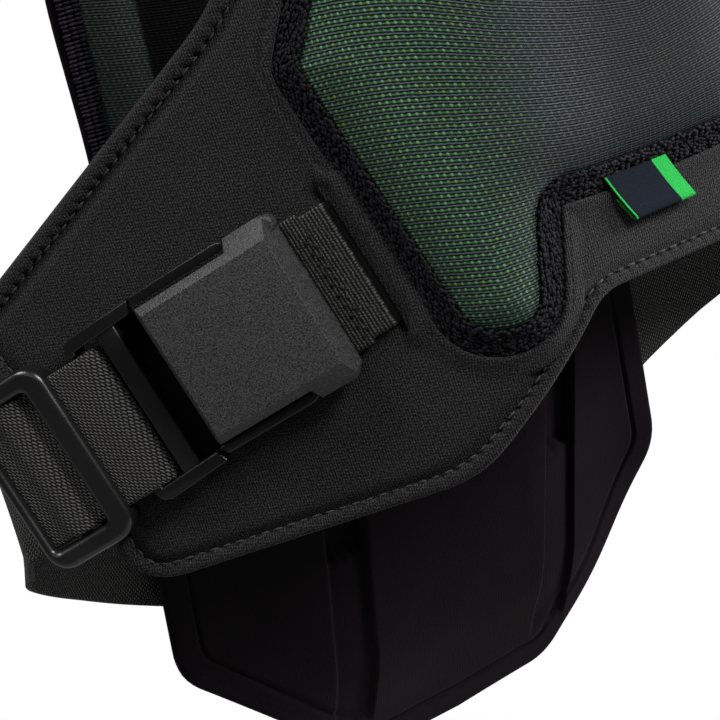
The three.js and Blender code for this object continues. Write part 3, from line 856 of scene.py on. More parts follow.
# Label cloth: navy ground with a green end and edge, both with a fine woven line
def label_material(name, navy, green, end_from, edge_to):
    material, tree, shader = new_material(name, Roughness=0.8, Specular_IOR_Level=0.1)
    part = split(tree, cloth_place(tree))
    end = maths(tree, "GREATER_THAN", part[0], end_from)
    edge = maths(tree, "LESS_THAN", part[0], edge_to)
    pick = maths(tree, "SINE", maths(tree, "MULTIPLY", part[1], 560.0))
    fine = maths(tree, "MULTIPLY_ADD", pick, 0.12, 0.95)
    colour = colour_mix(tree, maths(tree, "MAXIMUM", end, edge), (*navy, 1), (*green, 1))
    colour = colour_mix(tree, 1.0, colour, fine, "MULTIPLY")
    tree.links.new(colour, shader.inputs["Base Color"])
    bumped(tree, shader, pick, 0.04)
    return material


CLOTH_FEEL = {"Roughness": 0.9, "Specular_IOR_Level": 0.2, "Sheen_Weight": 0.06, "Sheen_Roughness": 0.5}
DULL_FEEL = {"Roughness": 0.95, "Specular_IOR_Level": 0.08, "Sheen_Weight": 0.03, "Sheen_Roughness": 0.5}
CARRIER_KNIT = {"Wale": 0.74, "Course": 0.84, "Yarn": 1.8, "Contrast": 2.7}
BACK_KNIT = {"Wale": 0.8, "Course": 0.9, "Yarn": 0.9, "Contrast": 0.4}
STRAP_WEAVE = {"Rib": 0.8, "Pick": 1.6, "Offset": 0.42, "Skew": -0.5, "Fuzz": 0.6, "Gap": 1.0, "Sharp": 1.0}
TAB_WEAVE = {"Rib": TAB.rib, "Pick": 0.85, "Offset": 0.5, "Skew": 0.0, "Fuzz": 1.1, "Gap": 0.6, "Sharp": 1.6}
CARRIER_CLOTH = cloth_material(
    "carrier_cloth", KNIT, (0.0175, 0.017, 0.0175), CARRIER_KNIT, 0.2, **CLOTH_FEEL,
)
BACK_CLOTH = cloth_material("back_cloth", KNIT, (0.0064, 0.0046, 0.0062), BACK_KNIT, 0.05, **DULL_FEEL)
PAD_MESH = mesh_material("pad_mesh")
# Near-black thread: the base of the sewn bands, and painted shade on the tab where it runs into its slot
BASE_AND_SHADE_THREAD = thread_material("base_and_shade_thread", (0.002, 0.0018, 0.0024), Roughness=0.9, Specular_IOR_Level=0.1)
SEAM_THREAD = thread_material("seam_thread", (0.009, 0.0082, 0.0112), Roughness=0.8, Specular_IOR_Level=0.25)
LINING_THREAD = thread_material("lining_thread", (0.034, 0.029, 0.04), Roughness=0.8, Specular_IOR_Level=0.2)
EDGE_THREAD = thread_material("edge_thread", (0.045, 0.044, 0.046), Roughness=0.7, Specular_IOR_Level=0.3)
ELASTIC = cloth_material("strap_elastic", WEAVE, (0.084, 0.081, 0.078), STRAP_WEAVE, 0.35, **CLOTH_FEEL)
TAB_WEBBING = cloth_material("tab_webbing", WEAVE, (0.085, 0.083, 0.077), TAB_WEAVE, 0.4, **CLOTH_FEEL)
BUCKLE_PLASTIC = plastic_material(
    "buckle_plastic", (0.041, 0.041, 0.0415), grain=2400.0, contrast=0.85, relief=0.2, rough=(0.42, 0.52),
)
FRAME_PLASTIC = plastic_material(
    "frame_plastic", (0.006, 0.006, 0.0063), grain=1300.0, contrast=0.2, relief=0.03, rough=(0.28, 0.36),
)
# Near-black, dull copy of the frame plastic: painted shade for the floor of the deep slot
SLOT_SHADE_PLASTIC = plastic_material(
    "slot_shade_plastic", (0.001, 0.001, 0.001), grain=1300.0, contrast=0.2, relief=0.03, rough=(0.9, 0.95),
    Specular_IOR_Level=0.05,
)
ADJUSTER_PLASTIC = plastic_material(
    "adjuster_plastic", (0.008, 0.008, 0.0084), grain=1500.0, contrast=0.2, relief=0.02, rough=(0.26, 0.34),
    Specular_IOR_Level=0.75,
)
LABEL_CLOTH = label_material("label_cloth", (0.009, 0.0135, 0.024), (0.036, 0.6, 0.1), 0.76, 0.025)


# Stitches: a thread bead at each step of a line
def stitch_tree():
    tree = bpy.data.node_groups.new("stitch_run", "GeometryNodeTree")
    sockets = {
        "Lines": "NodeSocketGeometry",
        "Pitch": FLOAT,
        "Length": FLOAT,
        "Thickness": FLOAT,
        "Loose": FLOAT,
        "Seed": "NodeSocketInt",
        "Thread": "NodeSocketMaterial",
    }
    for label, kind in sockets.items():
        tree.interface.new_socket(name=label, in_out="INPUT", socket_type=kind)
    tree.interface.new_socket(name="Stitches", in_out="OUTPUT", socket_type="NodeSocketGeometry")
    given = tree.nodes.new("NodeGroupInput").outputs
    end = tree.nodes.new("NodeGroupOutput")
    output = partial(node_output, tree)
    curve = output("GeometryNodeMeshToCurve", {0: given["Lines"]})
    steps = output("GeometryNodeResampleCurve", {"Curve": curve, "Length": given["Pitch"]}, mode="LENGTH")
    tangent = output("GeometryNodeInputTangent")
    turn = output("FunctionNodeAlignRotationToVector", {"Vector": tangent}, axis="Z")
    either_way = {0: (-1, -1, -1), 1: (1, 1, 1), "Seed": given["Seed"]}
    jitter = output("FunctionNodeRandomValue", either_way, data_type="FLOAT_VECTOR")
    offset = output("ShaderNodeVectorMath", {0: jitter, "Scale": given["Loose"]}, operation="SCALE")
    placed = output("GeometryNodeSetPosition", {"Geometry": steps, "Offset": offset})
    thickness = given["Thickness"]
    size = output("ShaderNodeCombineXYZ", {0: thickness, 1: thickness, 2: given["Length"]})
    uneven = {2: 0.82, 3: 1.15, "Seed": given["Seed"]}
    varied = add_node(tree, "FunctionNodeRandomValue", uneven, data_type="FLOAT").outputs[1]
    scale = output("ShaderNodeVectorMath", {0: size, "Scale": varied}, operation="SCALE")
    bead = output("GeometryNodeMeshUVSphere", {"Segments": 6, "Rings": 4, "Radius": 0.5})
    copies = {"Points": placed, "Instance": bead, "Rotation": turn, "Scale": scale}
    real = output("GeometryNodeRealizeInstances", {0: output("GeometryNodeInstanceOnPoints", copies)})
    smooth = output("GeometryNodeSetShadeSmooth", {0: real})
    threaded = output("GeometryNodeSetMaterial", {"Geometry": smooth, "Material": given["Thread"]})
    tree.links.new(threaded, end.inputs[0])
    return tree


STITCHES = stitch_tree()


def stitch_run(name, lines, size, material, closed=False, seed=3):
    points, edges = [], []
    for line in lines:
        first = len(points)
        points.extend((np.asarray(line) * MM).tolist())
        edges.extend((i, i + 1) for i in range(first, len(points) - 1))
        if closed:
            edges.append((len(points) - 1, first))
    mesh = bpy.data.meshes.new(name)
    mesh.from_pydata(points, edges, [])
    piece = in_scene(name, mesh)
    change = piece.modifiers.new("stitches", "NODES")
    change.node_group = STITCHES
    given = {"Pitch": size.pitch, "Length": size.length, "Thickness": size.thickness, "Loose": size.loose}
    given = {label: value * MM for label, value in given.items()}
    given.update({"Seed": seed, "Thread": material})
    for socket in STITCHES.interface.items_tree:
        if socket.in_out == "INPUT" and socket.name in given:
            change[socket.identifier] = given[socket.name]
    return settled(piece)


def dressed(piece, material=None, replaces=()):
    if material:
        piece.data.materials.clear()
        piece.data.materials.append(material)
    if replaces:
        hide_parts(*replaces)
    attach(piece, "root")
    return piece


# Cloth coordinates of the front in millimetres: along the form, and height
def front_uv(flat):
    x = np.linspace(-PANEL.uv_reach, PANEL.uv_reach, 681)
    along = run_over(front_y, x, PANEL.uv_level)
    return np.stack([np.interp(flat[..., 0], x, along - along[len(x) // 2]), flat[..., 1]], axis=-1)


# Folded edge of the front panel: distance from the outline, height over the cloth, share of the scallops
BINDING_PROFILE = [
    (0.5, -3.95, 0),
    (-0.45, -3.6, 0),
    (-0.5, -3.0, 0),
    (0.1, -2.5, 0),
    (-0.1, -2.2, 0),
    (-0.1, -1.2, 0),
    (0.1, -0.3, 0),
    (0.5, 0.4, 0),
    (1.1, 0.75, 0),
    (1.8, 0.8, 0.1),
    (2.45, 0.6, 0.4),
    (2.95, 0.25, 0.8),
    (3.25, -0.35, 1),
    (3.3, -1.3, 1),
    (2.8, -2.2, 0.5),
]
# Raised rim of the front panel beside the pad's sewn band: distance from the pad, height over the cloth
RIM_PROFILE = [
    (13.2, -0.2),
    (12.4, 0.13),
    (11.4, 0.32),
    (10.4, 0.62),
    (9.4, 1.0),
    (8.4, 1.38),
    (7.6, 1.6),
    (7.1, 1.6),
    (6.8, 1.35),
    (6.7, 0.7),
    (6.8, -0.8),
    (10, -1.4),
]


RIM_SUNK = 0.1


# Distance from the nearer slot's edge, and the place along that side's buckle
def slot_field(points):
    right = points * np.where(points[..., :1] > 0, -1, 1) ** np.array([1, 0, 0])
    local = right - SEAT
    along, across, out = local @ ALONG, local @ ACROSS, local @ OUT
    side_a = np.abs(along - SLOT.middle)
    side_b = np.maximum(np.abs(across - SLOT.across) - (SLOT.reach - SLOT.half), 0)
    away = np.hypot(side_a, side_b) - SLOT.half
    return np.where(np.abs(out) < SLOT.near, away, SLOT.far), along


# Raised lip on the far side of a slot, and the dip round it
def slot_relief(flat):
    from_slot, place = slot_field(lifted(front_y, flat, 0))
    beyond = smoothstep(place, SLOT.middle - 1, SLOT.middle + SLOT.shut)
    fall = np.exp(-np.maximum(from_slot - SLOT.lip_place, 0) / SLOT.lip_width)
    lip = SLOT.lip * beyond * smoothstep(from_slot, SLOT.shut - SLOT.half, 0.3) * fall
    dip = SLOT.dip * (1 - 0.8 * beyond) * (1 - smoothstep(from_slot, -SLOT.dip_in, SLOT.dip_out))
    return lip, dip


# Cloth that rises just under the rim by the pad
def rim_relief(flat):
    away, _ = edge_field(flat, PAD_LOWER, PAD_UPPER)
    top = np.array(RIM_PROFILE[6:0:-1])
    rise = np.interp(away, top[:, 0], top[:, 1] - RIM_SUNK, right=0)
    return rise * smoothstep(away, SEAM.width, top[1, 0])


def cut_slots(piece):
    low, high = SLOT.across - SLOT.open, SLOT.across + SLOT.open
    outline = rounded_box(SLOT.middle - SLOT.half, SLOT.middle + SLOT.shut, low, high, SLOT.shut, 7)
    for side in ("right", "left"):
        tool = prism("slot_tool", outline, *SLOT.cut)
        if side == "left":
            mirror(tool.data)
        carved(piece, tool, "DIFFERENCE")
    piece.data.set_sharp_from_angle(angle=math.radians(50))


def pad_rim():
    line = full_outline(PAD_LOWER, PAD_UPPER, OUTLINE_STEP)
    rings = profile_rings(line, front_y, RIM_PROFILE)
    faces = ring_faces(len(line), len(RIM_PROFILE), True)
    return mesh_piece("rim", rings, faces, front_uv(rings[..., [0, 2]]))


# Front panel: sunk towards its folded edge, with a rim by the pad and slots with a raised lip
def front_panel():
    flat = patch(FRONT_LOWER, FRONT_UPPER, FRONT_GRID.columns, EDGE_STEPS, FRONT_GRID.rows)
    away, _ = edge_field(flat, FRONT_LOWER, FRONT_UPPER)
    half = PANEL.thickness / 2
    sunk = PANEL.sunk * (1 - smoothstep(away, PANEL.sunk_from, PANEL.sunk_to)) * smoothstep(away, 0, 0.5)
    lip, dip = slot_relief(flat)
    height = half * (rolled(away, PANEL.roll) - 1) - sunk + np.maximum(lip, rim_relief(flat)) - dip
    face = lifted(front_y, flat, height)
    back_flat = patch(FRONT_LOWER, FRONT_UPPER, FRONT_GRID.columns, LINING_STEPS, FRONT_GRID.lining_rows)
    back_away, _ = edge_field(back_flat, FRONT_LOWER, FRONT_UPPER)
    lining = lifted(front_y, back_flat, -half - half * rolled(back_away, PANEL.roll))
    piece = shell("front_panel_cloth", face, lining, front_uv(flat), front_uv(back_flat))
    cut_slots(piece)
    piece = joined("front_panel_cloth", [piece, pad_rim()])
    dressed(piece, CARRIER_CLOTH, ["front_panel"])


def inset_outline(flat, distance):
    ahead = np.roll(flat, -1, axis=0) - np.roll(flat, 1, axis=0)
    inward = unit(np.stack([ahead[:, 1], -ahead[:, 0]], axis=1))
    return flat + inward * np.broadcast_to(distance, len(flat))[:, None]


# Folded edge, scalloped where each stitch pulls it in
def panel_binding():
    flat = full_outline(FRONT_LOWER, FRONT_UPPER, BINDING.step)
    count = round(len(flat) * BINDING.step / BINDING.pitch)
    bulge = np.abs(np.cos(math.pi * count * np.arange(len(flat)) / len(flat))) ** BINDING.power
    rings, uv = [], []
    for inset, height, share in BINDING_PROFILE:
        line = inset_outline(flat, inset + BINDING.tooth * share * (bulge - 0.5))
        rings.append(lifted(front_y, line, height - BINDING.drop * share * (1 - bulge)))
        uv.append(front_uv(line))
    faces = ring_faces(len(flat), len(rings), True)
    piece = mesh_piece("front_panel_binding", np.stack(rings, axis=1), faces, np.stack(uv, axis=1))
    dressed(piece, CARRIER_CLOTH)


def edge_stitches(name, lower, upper, surface, inset, lift):
    line = lifted(surface, inset_outline(full_outline(lower, upper, OUTLINE_STEP), inset), lift)
    piece = stitch_run(name, [line], EDGE_STITCH, EDGE_THREAD, closed=True)
    return dressed(piece)


# Domed pad of spacer mesh
def mesh_uv(flat, surface, table):
    x = np.linspace(0, MESH.reach, 441)
    rise = np.interp(x, table[:, 0], table[:, 1])
    level = np.concatenate([[0], np.cumsum((rise[1:] + rise[:-1]) / 2 * np.diff(x))])
    run = run_over(surface, x, MESH.level)
    reach = np.abs(flat[..., 0])
    spacing = np.interp(reach, table[:, 0], table[:, 2])
    row = (flat[..., 1] - MESH.level - np.interp(reach, x, level)) / spacing
    step = np.sign(flat[..., 0]) * np.interp(reach, x, run) / MESH.dot
    return np.stack([step, row], axis=-1) + MESH.origin


def paint(piece, name, values):
    layer = piece.data.attributes.new(name, "FLOAT", "POINT")
    layer.data.foreach_set("value", np.asarray(values, np.float32))


def dome(name, lower, upper, size, surface, table):
    table = np.array(table, float)
    flat = patch(lower, upper, size.columns, DOME_STEPS, size.rows)
    away, _ = edge_field(flat, lower, upper)
    rise = np.sin(np.minimum(away / size.ramp, 1) * math.pi / 2) ** size.power
    height = size.base + size.edge / 2 * (1 + rolled(away, size.edge / 2)) + (size.crown - size.edge) * rise
    face = lifted(surface, flat, height)
    under_flat = patch(lower, upper, size.columns, UNDER_STEPS, UNDER_ROWS)
    under_away, _ = edge_field(under_flat, lower, upper)
    under = lifted(surface, under_flat, size.base + size.edge / 2 * (1 - rolled(under_away, size.edge / 2)))
    piece = shell(name, face, under, mesh_uv(flat, surface, table), mesh_uv(under_flat, surface, table))
    points = np.empty(len(piece.data.vertices) * 3, np.float32)
    piece.data.vertices.foreach_get("co", points)
    points = points.reshape(-1, 1, 3)[..., [0, 2]] / MM
    reach = np.abs(points[:, 0, 0])
    paint(piece, "openness", np.interp(reach, table[:, 0], table[:, 3]))
    # Painted light and shade across the pad, by distance from its middle
    paint(piece, "painted_light", np.interp(reach, table[:, 0], table[:, 4]))
    # The field is zero on a patch's first and last row, so the middle one of three alike is read
    inside, _ = edge_field(np.concatenate([points, points, points], axis=1), lower, upper)
    # Share of the mesh painted near-black, further in than a set distance from its edge
    paint(piece, "covered", smoothstep(inside[:, 1], size.covered - 0.6, size.covered + 0.6))
    return piece


# Sewn band round a pad: a soft base with rows of thread on it
def band_line(flat, surface, out, up):
    spot = lifted(surface, flat, 0)
    ahead = np.roll(spot, -1, axis=0) - np.roll(spot, 1, axis=0)
    normal = facing(surface, flat[:, 0], flat[:, 1])
    moved = spot + unit(-np.cross(ahead, normal)) * out
    return lifted(surface, moved[:, [0, 2]], up)


def profile_rings(flat, surface, profile):
    return np.stack([band_line(flat, surface, out, up) for out, up in profile], axis=1)


def sewn_base(name, flat, surface, profile):
    faces = ring_faces(len(flat), len(profile), True)
    base = mesh_piece(name, profile_rings(flat, surface, profile), faces)
    base.data.materials.append(BASE_AND_SHADE_THREAD)
    return base


# Front band: rows of crocheted knots that lean to and fro
def knotted_band(name, lower, upper, surface, replaced):
    flat = full_outline(lower, upper, KNOT.pitch)
    runs = [sewn_base(name, flat, surface, KNOT_BASE)]
    sway = KNOT_SWING * np.where(np.arange(len(flat)) % 2, 1, -1)
    for index, (out, up) in enumerate(KNOT_ROWS):
        line = band_line(flat, surface, out + sway[:, None], up)
        runs.append(stitch_run(f"{name}_{index}", [line], KNOT, SEAM_THREAD, True, 5 + index))
    return dressed(joined(name, runs), None, [replaced])


# Back band: flat overlock of short threads that lie across it
def overlocked_band(name, lower, upper, surface, replaced):
    flat = full_outline(lower, upper, OVERLOCK.step)
    turn = np.linspace(0, math.pi, 9)
    outs = SEAM.width / 2 * (1 + np.cos(turn)) + OVERLOCK.base
    top = zip(outs, OVERLOCK.base + OVERLOCK.rise * np.sin(turn) ** 0.6)
    base = sewn_base(name, flat, surface, [*top, (0.6, 0.05), (SEAM.width - 0.6, 0.05)])
    outs = np.linspace(1.0, SEAM.width - 0.2, OVERLOCK.rows)
    rows = [band_line(flat, surface, out, OVERLOCK.lift) for out in outs]
    threads = stitch_run(name + "_threads", np.stack(rows, axis=1), OVERLOCK_STITCH, LINING_THREAD)
    return dressed(joined(name, [base, threads]), None, [replaced])


# Side view of the label: down from the seam, round its fold and up again behind
def label_path():
    def hang(t):
        return LABEL.root - LABEL.fall * t + LABEL.lift * t * t

    gap = LABEL.thickness
    path = [(-LABEL.drop * t, hang(t) + gap) for t in np.linspace(0, 1, 9)]
    bottom = path[-1][1]
    for angle in np.linspace(0.15, 0.85, 5) * math.pi:
        down, behind = LABEL.fold * math.sin(angle), LABEL.fold * (1 - math.cos(angle))
        path.append((-LABEL.drop - down, bottom - behind))
    for t in np.linspace(0.95, 0.42, 8):
        behind = hang(t) - 2 * LABEL.fold + gap - LABEL.rest
        path.append((-LABEL.drop * t, LABEL.rest + behind * smoothstep(t, 0, 1)))
    return np.array(path)


def label():
    path = label_path()
    ahead = np.gradient(path, axis=0)
    wall = unit(np.stack([ahead[:, 1], -ahead[:, 0]], axis=1)) * LABEL.thickness / 2
    ring = np.concatenate([path + wall, (path - wall)[::-1]])
    run = run_along(ring)
    top = PAD_LOWER[-1][1] - LABEL.start
    across = np.linspace(0, 1, 25)
    rings, uv = [], []
    for share in across:
        x = LABEL.centre + LABEL.width * (share - 0.5)
        flat = np.stack([x - ring[:, 0] * LABEL.lean, top + ring[:, 0]], axis=1)
        rings.append(lifted(front_y, flat, ring[:, 1]))
        uv.append(np.stack([np.full(len(ring), share), run / 30], axis=1))
    faces = [face[::-1] for face in ring_faces(len(across), len(ring), False)[:-2]]
    for first in (0, (len(across) - 1) * len(ring)):
        last = first + len(ring) - 1
        faces += [(first + k, first + k + 1, last - 1 - k, last - k) for k in range(len(path) - 1)]
    piece = mesh_piece("label_flap", np.array(rings), faces, np.array(uv), sharp=50)
    dressed(piece, LABEL_CLOTH, ["label"])
    flat = (LABEL.width * MM, path_length(path) * MM)


def groove(away, place, width):
    return np.exp(-(((away - place) / width) ** 2))


# Back panel: thin rolled edge, stitch groove, moulded channels on its inner face
def back_panel():
    flat = patch(BACK_LOWER, BACK_UPPER, BACK_GRID.columns, TAIL_STEPS, BACK_GRID.rows)
    away, _ = edge_field(flat, BACK_LOWER, BACK_UPPER)
    x, z = flat[..., 0], flat[..., 1]
    middle = back_outer_y(x, z) - BACK.thickness / 2
    border = TAIL_BORDER
    below = smoothstep(-z, -border.start, border.fade - border.start)
    sunk = border.depth * groove(away, border.inset, border.width) * below
    y = middle - (middle - back_inner_y(x, z)) * rolled(away, PANEL.roll) + sunk
    inner = np.stack([x, y, z], axis=-1)
    outer_flat = patch(BACK_LOWER, BACK_UPPER, BACK_GRID.columns, OUTER_STEPS, BACK_GRID.outer_rows)
    outer_away, _ = edge_field(outer_flat, BACK_LOWER, BACK_UPPER)
    x, z = outer_flat[..., 0], outer_flat[..., 1]
    middle = back_outer_y(x, z) - BACK.thickness / 2
    sunk = BORDER.outer_depth * groove(outer_away, BORDER.outer, BORDER.outer_width)
    y = middle + BACK.thickness / 2 * rolled(outer_away, PANEL.roll) - sunk
    outer = np.stack([x, y, z], axis=-1)
    piece = shell("back_panel_cloth", inner, outer, flat, outer_flat)
    dressed(piece, BACK_CLOTH, ["back_panel"])


def both_sides(piece, nodes, material=None, finish=None):
    other = mirrored(piece, piece.name.replace("_right", "_left"))
    for each, side in ((piece, "_right"), (other, "_left")):
        dressed(each, material, [node + side for node in nodes])
        if finish:
            finish(each)


# Straps
def side_strap():
    near = on_wing([(along, WEBBING.shift, height) for along, height in STRAP_NEAR])
    around = np.array(STRAP_ROUND, float)
    route = np.concatenate([near, around[:, :3]])
    leaning = unit(np.column_stack([around[:, 3], np.zeros(len(around)), np.ones(len(around))]))
    sides = np.concatenate([np.tile(ACROSS, (len(near), 1)), leaning])
    middles = smooth_path(route, 12)
    at = np.linspace(0, len(route) - 1, len(middles))
    widths = np.stack([np.interp(at, np.arange(len(route)), sides[:, k]) for k in range(3)], axis=1)
    piece = band("side_strap_elastic_right", middles, widths, WEBBING.width, WEBBING.thickness)

    def finish(each):
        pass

    both_sides(piece, ["side_strap"], ELASTIC, finish)
    strap_box(middles[-1], unit(middles[-1] - middles[-2]), widths[-1])


# Sewn box with a cross at the strap's end on the back panel
def strap_box(end, tangent, width):
    side = width - tangent * (width @ tangent)
    lift = np.cross(tangent, side)
    raised = end + unit(lift) * np.sign(lift[1]) * (WEBBING.thickness / 2 + STRAP_BOX.lift)
    reach = side * (WEBBING.width / 2 - STRAP_BOX.margin)
    start, end = raised - tangent * STRAP_BOX.start, raised - tangent * STRAP_BOX.end
    corner = [start - reach, start + reach, end + reach, end - reach]
    pairs = ((0, 1), (1, 2), (2, 3), (3, 0), (0, 2), (1, 3))
    lines = [[corner[first], corner[last]] for first, last in pairs]
    box = stitch_run("strap_box_stitches_right", lines, BOX_STITCH, EDGE_THREAD)
    both_sides(box, [])


def buckle_tab():
    middles = smooth_path([(along, 0, height) for along, height in TAB_PATH], 30)
    middles = spaced(middles, 200)
    run = np.linspace(0, path_length(middles), len(middles))
    relief = TAB.relief * np.abs(np.sin(math.pi * run / TAB.rib)) ** 0.7 - TAB.relief / 2
    neck = smoothstep(middles[:, 0], TAB.neck_from - 0.4, TAB.neck_from + 0.4)
    width = TAB.width + (TAB.neck - TAB.width) * neck
    widths = np.tile(ACROSS, (len(middles), 1))
    piece = band("buckle_tab_webbing_right", on_wing(middles), widths, width, TAB.thickness, relief, 32)
    piece.data.materials.append(TAB_WEBBING)
    piece.data.materials.append(BASE_AND_SHADE_THREAD)
    # Faces past the bend into the slot get the near-black thread: painted shade of the slot
    for face in piece.data.polygons:
        face.material_index = int((np.array(face.center) / MM - SEAT) @ ALONG > TAB.sunk_from)

    def finish(each):
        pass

    both_sides(piece, ["buckle_tab"], None, finish)
    top = TAB_PATH[0][1] + TAB.thickness / 2 + ZIGZAG.lift
    places = np.arange(ZIGZAG.start, ZIGZAG.end, ZIGZAG.step)
    sway = ZIGZAG.swing * np.where(np.arange(len(places)) % 2, 1, -1)
    corners = on_wing(np.column_stack([ZIGZAG.place + sway, places, np.full(len(places), top)]))
    lines = list(zip(corners, corners[1:]))
    stitches = stitch_run("tab_stitches_right", lines, ZIGZAG_STITCH, SEAM_THREAD)
    both_sides(stitches, [])


def shoulder_strap():
    x = -SHOULDER.place
    lift = SHOULDER.clear + SHOULDER.thickness / 2
    rows = []
    for z in SHOULDER_ON_BACK:
        flat = np.array([x, z], float)
        rows.append((*lifted(back_outer_y, flat, -lift), back_outer_y(x + 1, z) - back_outer_y(x, z)))
    for y, z, turn in SHOULDER_OVER:
        rows.append((x, y, z, turn))
    for z in SHOULDER_ON_FRONT:
        flat = np.array([x, z], float)
        rows.append((*lifted(front_y, flat, lift), front_y(x + 1, z) - front_y(x, z)))
    path = smooth_path(rows, 16)
    middles = path[:, :3]
    widths = np.column_stack([np.ones(len(path)), path[:, 3], np.zeros(len(path))])
    piece = band("shoulder_strap_cloth_right", middles, widths, SHOULDER.width, SHOULDER.thickness, steps=30)

    def finish(each):
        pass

    both_sides(piece, ["shoulder_strap"], CARRIER_CLOTH, finish)
    side, up = strap_axes(middles, widths)
    up *= np.sign((up * (middles - np.array([x, *SHOULDER.centre]))).sum(axis=1, keepdims=True))
    raised = middles + up * (SHOULDER.thickness / 2 + SHOULDER.lift)
    reach = SHOULDER.width / 2 - SHOULDER.margin
    right, left = raised + side * reach, raised - side * reach
    count = len(raised)
    boxes = ((2, 9), (count - 10, count - 3))
    lines = [right, left]
    for at in (*boxes[0], *boxes[1]):
        lines.append([left[at], right[at]])
    for first, last in boxes:
        lines.append([left[first], right[last]])
        lines.append([right[first], left[last]])
    stitches = stitch_run("shoulder_strap_stitches_right", lines, SHOULDER_STITCH, EDGE_THREAD)
    both_sides(stitches, [])


# Buckle: plate with sloped rim and ears, forked frame, strap adjuster
PLATE = Sizes(
    left=-22.4, right=22.3, across=21.3, low=3.2, high=13.0, rim=2.4,
    slope_left=1.8, slope_right=3.4, slope_across=0.85, chamfer=1.2,
)
EAR = Sizes(start=9.0, end=20.4, reach=24.8, cut=2.6)
# Round lugs under the plate's ears: along, across, radius, height
LUGS = [(20.6, 21.8, 2.6, 8.6), (19.8, -21.8, 2.2, 7.2)]
FRAME = Sizes(
    end=-46.4, tip=8.2, reach=25.0, inner=21.9, low=2.9, high=7.2,
    rail_high=6.4, bar=4.4, bar_high=4.2, round=0.7,
)
SLOT_SHADE_FLOOR = Sizes(under=1.0, gap=0.4, low=1.6, high=0.4)
# Floor under the slot between crossbar and plate, painted near-black as the slot's shade
FORK = Sizes(notch=-24.4, shift=-1.8, reach=26.0, inner=22.0)
CROSSBAR = Sizes(start=-36.2, end=-30.2, high=6.8)
GLIDE = Sizes(start=-83.0, end=-54.6, shift=-2.9, reach=27.3, low=2.2, high=9.8, radius=6.5, round=1.7)
GLIDE_BAR = Sizes(
    left=3.0, right=7.0, low=6.9, side=0.45, corner=1.8, centre=1.6, centre_low=3.2, centre_high=5.4,
)


def buckle_plate():
    half = [
        (PLATE.left, 0),
        (PLATE.left, PLATE.across - PLATE.chamfer),
        (PLATE.left + PLATE.chamfer, PLATE.across),
        (EAR.start - 0.9, PLATE.across),
        (EAR.start, EAR.reach),
        (EAR.end - 0.6, EAR.reach),
        (PLATE.right, EAR.reach - EAR.cut),
        (PLATE.right, 0),
    ]
    outline = half[1:-1][::-1] + [(a, -b) for a, b in half[1:-1]]
    piece = prism("buckle_plate_moulded_right", outline, PLATE.low, PLATE.high)
    side = PLATE.across - PLATE.rim
    face = np.array([PLATE.left + PLATE.rim, PLATE.right - PLATE.rim, -side, side])
    drop = PLATE.high - PLATE.low + 1
    spread = drop / np.array([-PLATE.slope_left, PLATE.slope_right, -PLATE.slope_across, PLATE.slope_across])
    tool = frustum("slope_tool", face + spread, face, PLATE.high - drop, PLATE.high + 0.001)
    carved(piece, tool, "INTERSECT")
    softened(piece, 0.7, 5)
    lugs = []
    for a, b, radius, high in LUGS:
        turn = np.linspace(0, math.tau, 20, endpoint=False)
        circle = np.stack([a + radius * np.cos(turn), b + radius * np.sin(turn)], axis=1)
        lugs.append(softened(prism("lug", circle, PLATE.low, high), 1.0, 4, 35))
    piece = joined("buckle_plate_moulded_right", [piece, *lugs])
    both_sides(piece, ["buckle_plate"], BUCKLE_PLASTIC)


def buckle_frame():
    pieces = []
    for side in (1, -1):
        inner, outer = FORK.inner + side * FORK.shift, FORK.reach + side * FORK.shift
        arm = [
            (FRAME.end + 2.6, inner),
            (FORK.notch - 0.3, (inner + FRAME.inner) / 2),
            (FORK.notch + 1.3, (outer + FRAME.reach) / 2),
            (FRAME.end + 3.6, outer),
            (FRAME.end + 1.0, outer - 1.0),
            (FRAME.end, outer - 3.6),
            (FRAME.end, inner - 1.0),
            (FRAME.end + 2.6, inner - 1.0),
        ]
        rail = [
            (FORK.notch + 0.5, FRAME.inner + 0.4),
            (FRAME.tip - 0.8, FRAME.inner + 0.4),
            (FRAME.tip, FRAME.inner + 1.2),
            (FRAME.tip - 0.2, FRAME.inner + 2.2),
            (FRAME.tip - 1.8, FRAME.reach - 0.15),
            (FRAME.tip - 3.6, FRAME.reach),
            (FORK.notch + 2.0, FRAME.reach),
        ]
        for outline, high in ((arm, FRAME.high), (rail, FRAME.rail_high)):
            pieces.append(prism("arm", [(a, side * b) for a, b in outline], FRAME.low, high))
    ends = FORK.shift - FORK.inner - 0.8, FORK.shift + FORK.inner + 0.8
    crossbar = box_outline(CROSSBAR.start, CROSSBAR.end, *ends)
    end_bar = box_outline(FRAME.end, FRAME.end + FRAME.bar, *ends)
    pieces.append(prism("crossbar", crossbar, FRAME.low, CROSSBAR.high))
    pieces.append(prism("end_bar", end_bar, FRAME.low, FRAME.bar_high))
    for piece in pieces:
        softened(piece, FRAME.round, 5).data.materials.append(FRAME_PLASTIC)
    # Near-black floor under the slot: painted shade of the deep slot
    floor = box_outline(CROSSBAR.end - SLOT_SHADE_FLOOR.under, PLATE.left - SLOT_SHADE_FLOOR.gap, *ends)
    floor = prism("floor", floor, FRAME.low - SLOT_SHADE_FLOOR.low, FRAME.low - SLOT_SHADE_FLOOR.high)
    floor.data.materials.append(SLOT_SHADE_PLASTIC)
    piece = joined("buckle_frame_moulded_right", [*pieces, floor])
    both_sides(piece, ["buckle_frame"])


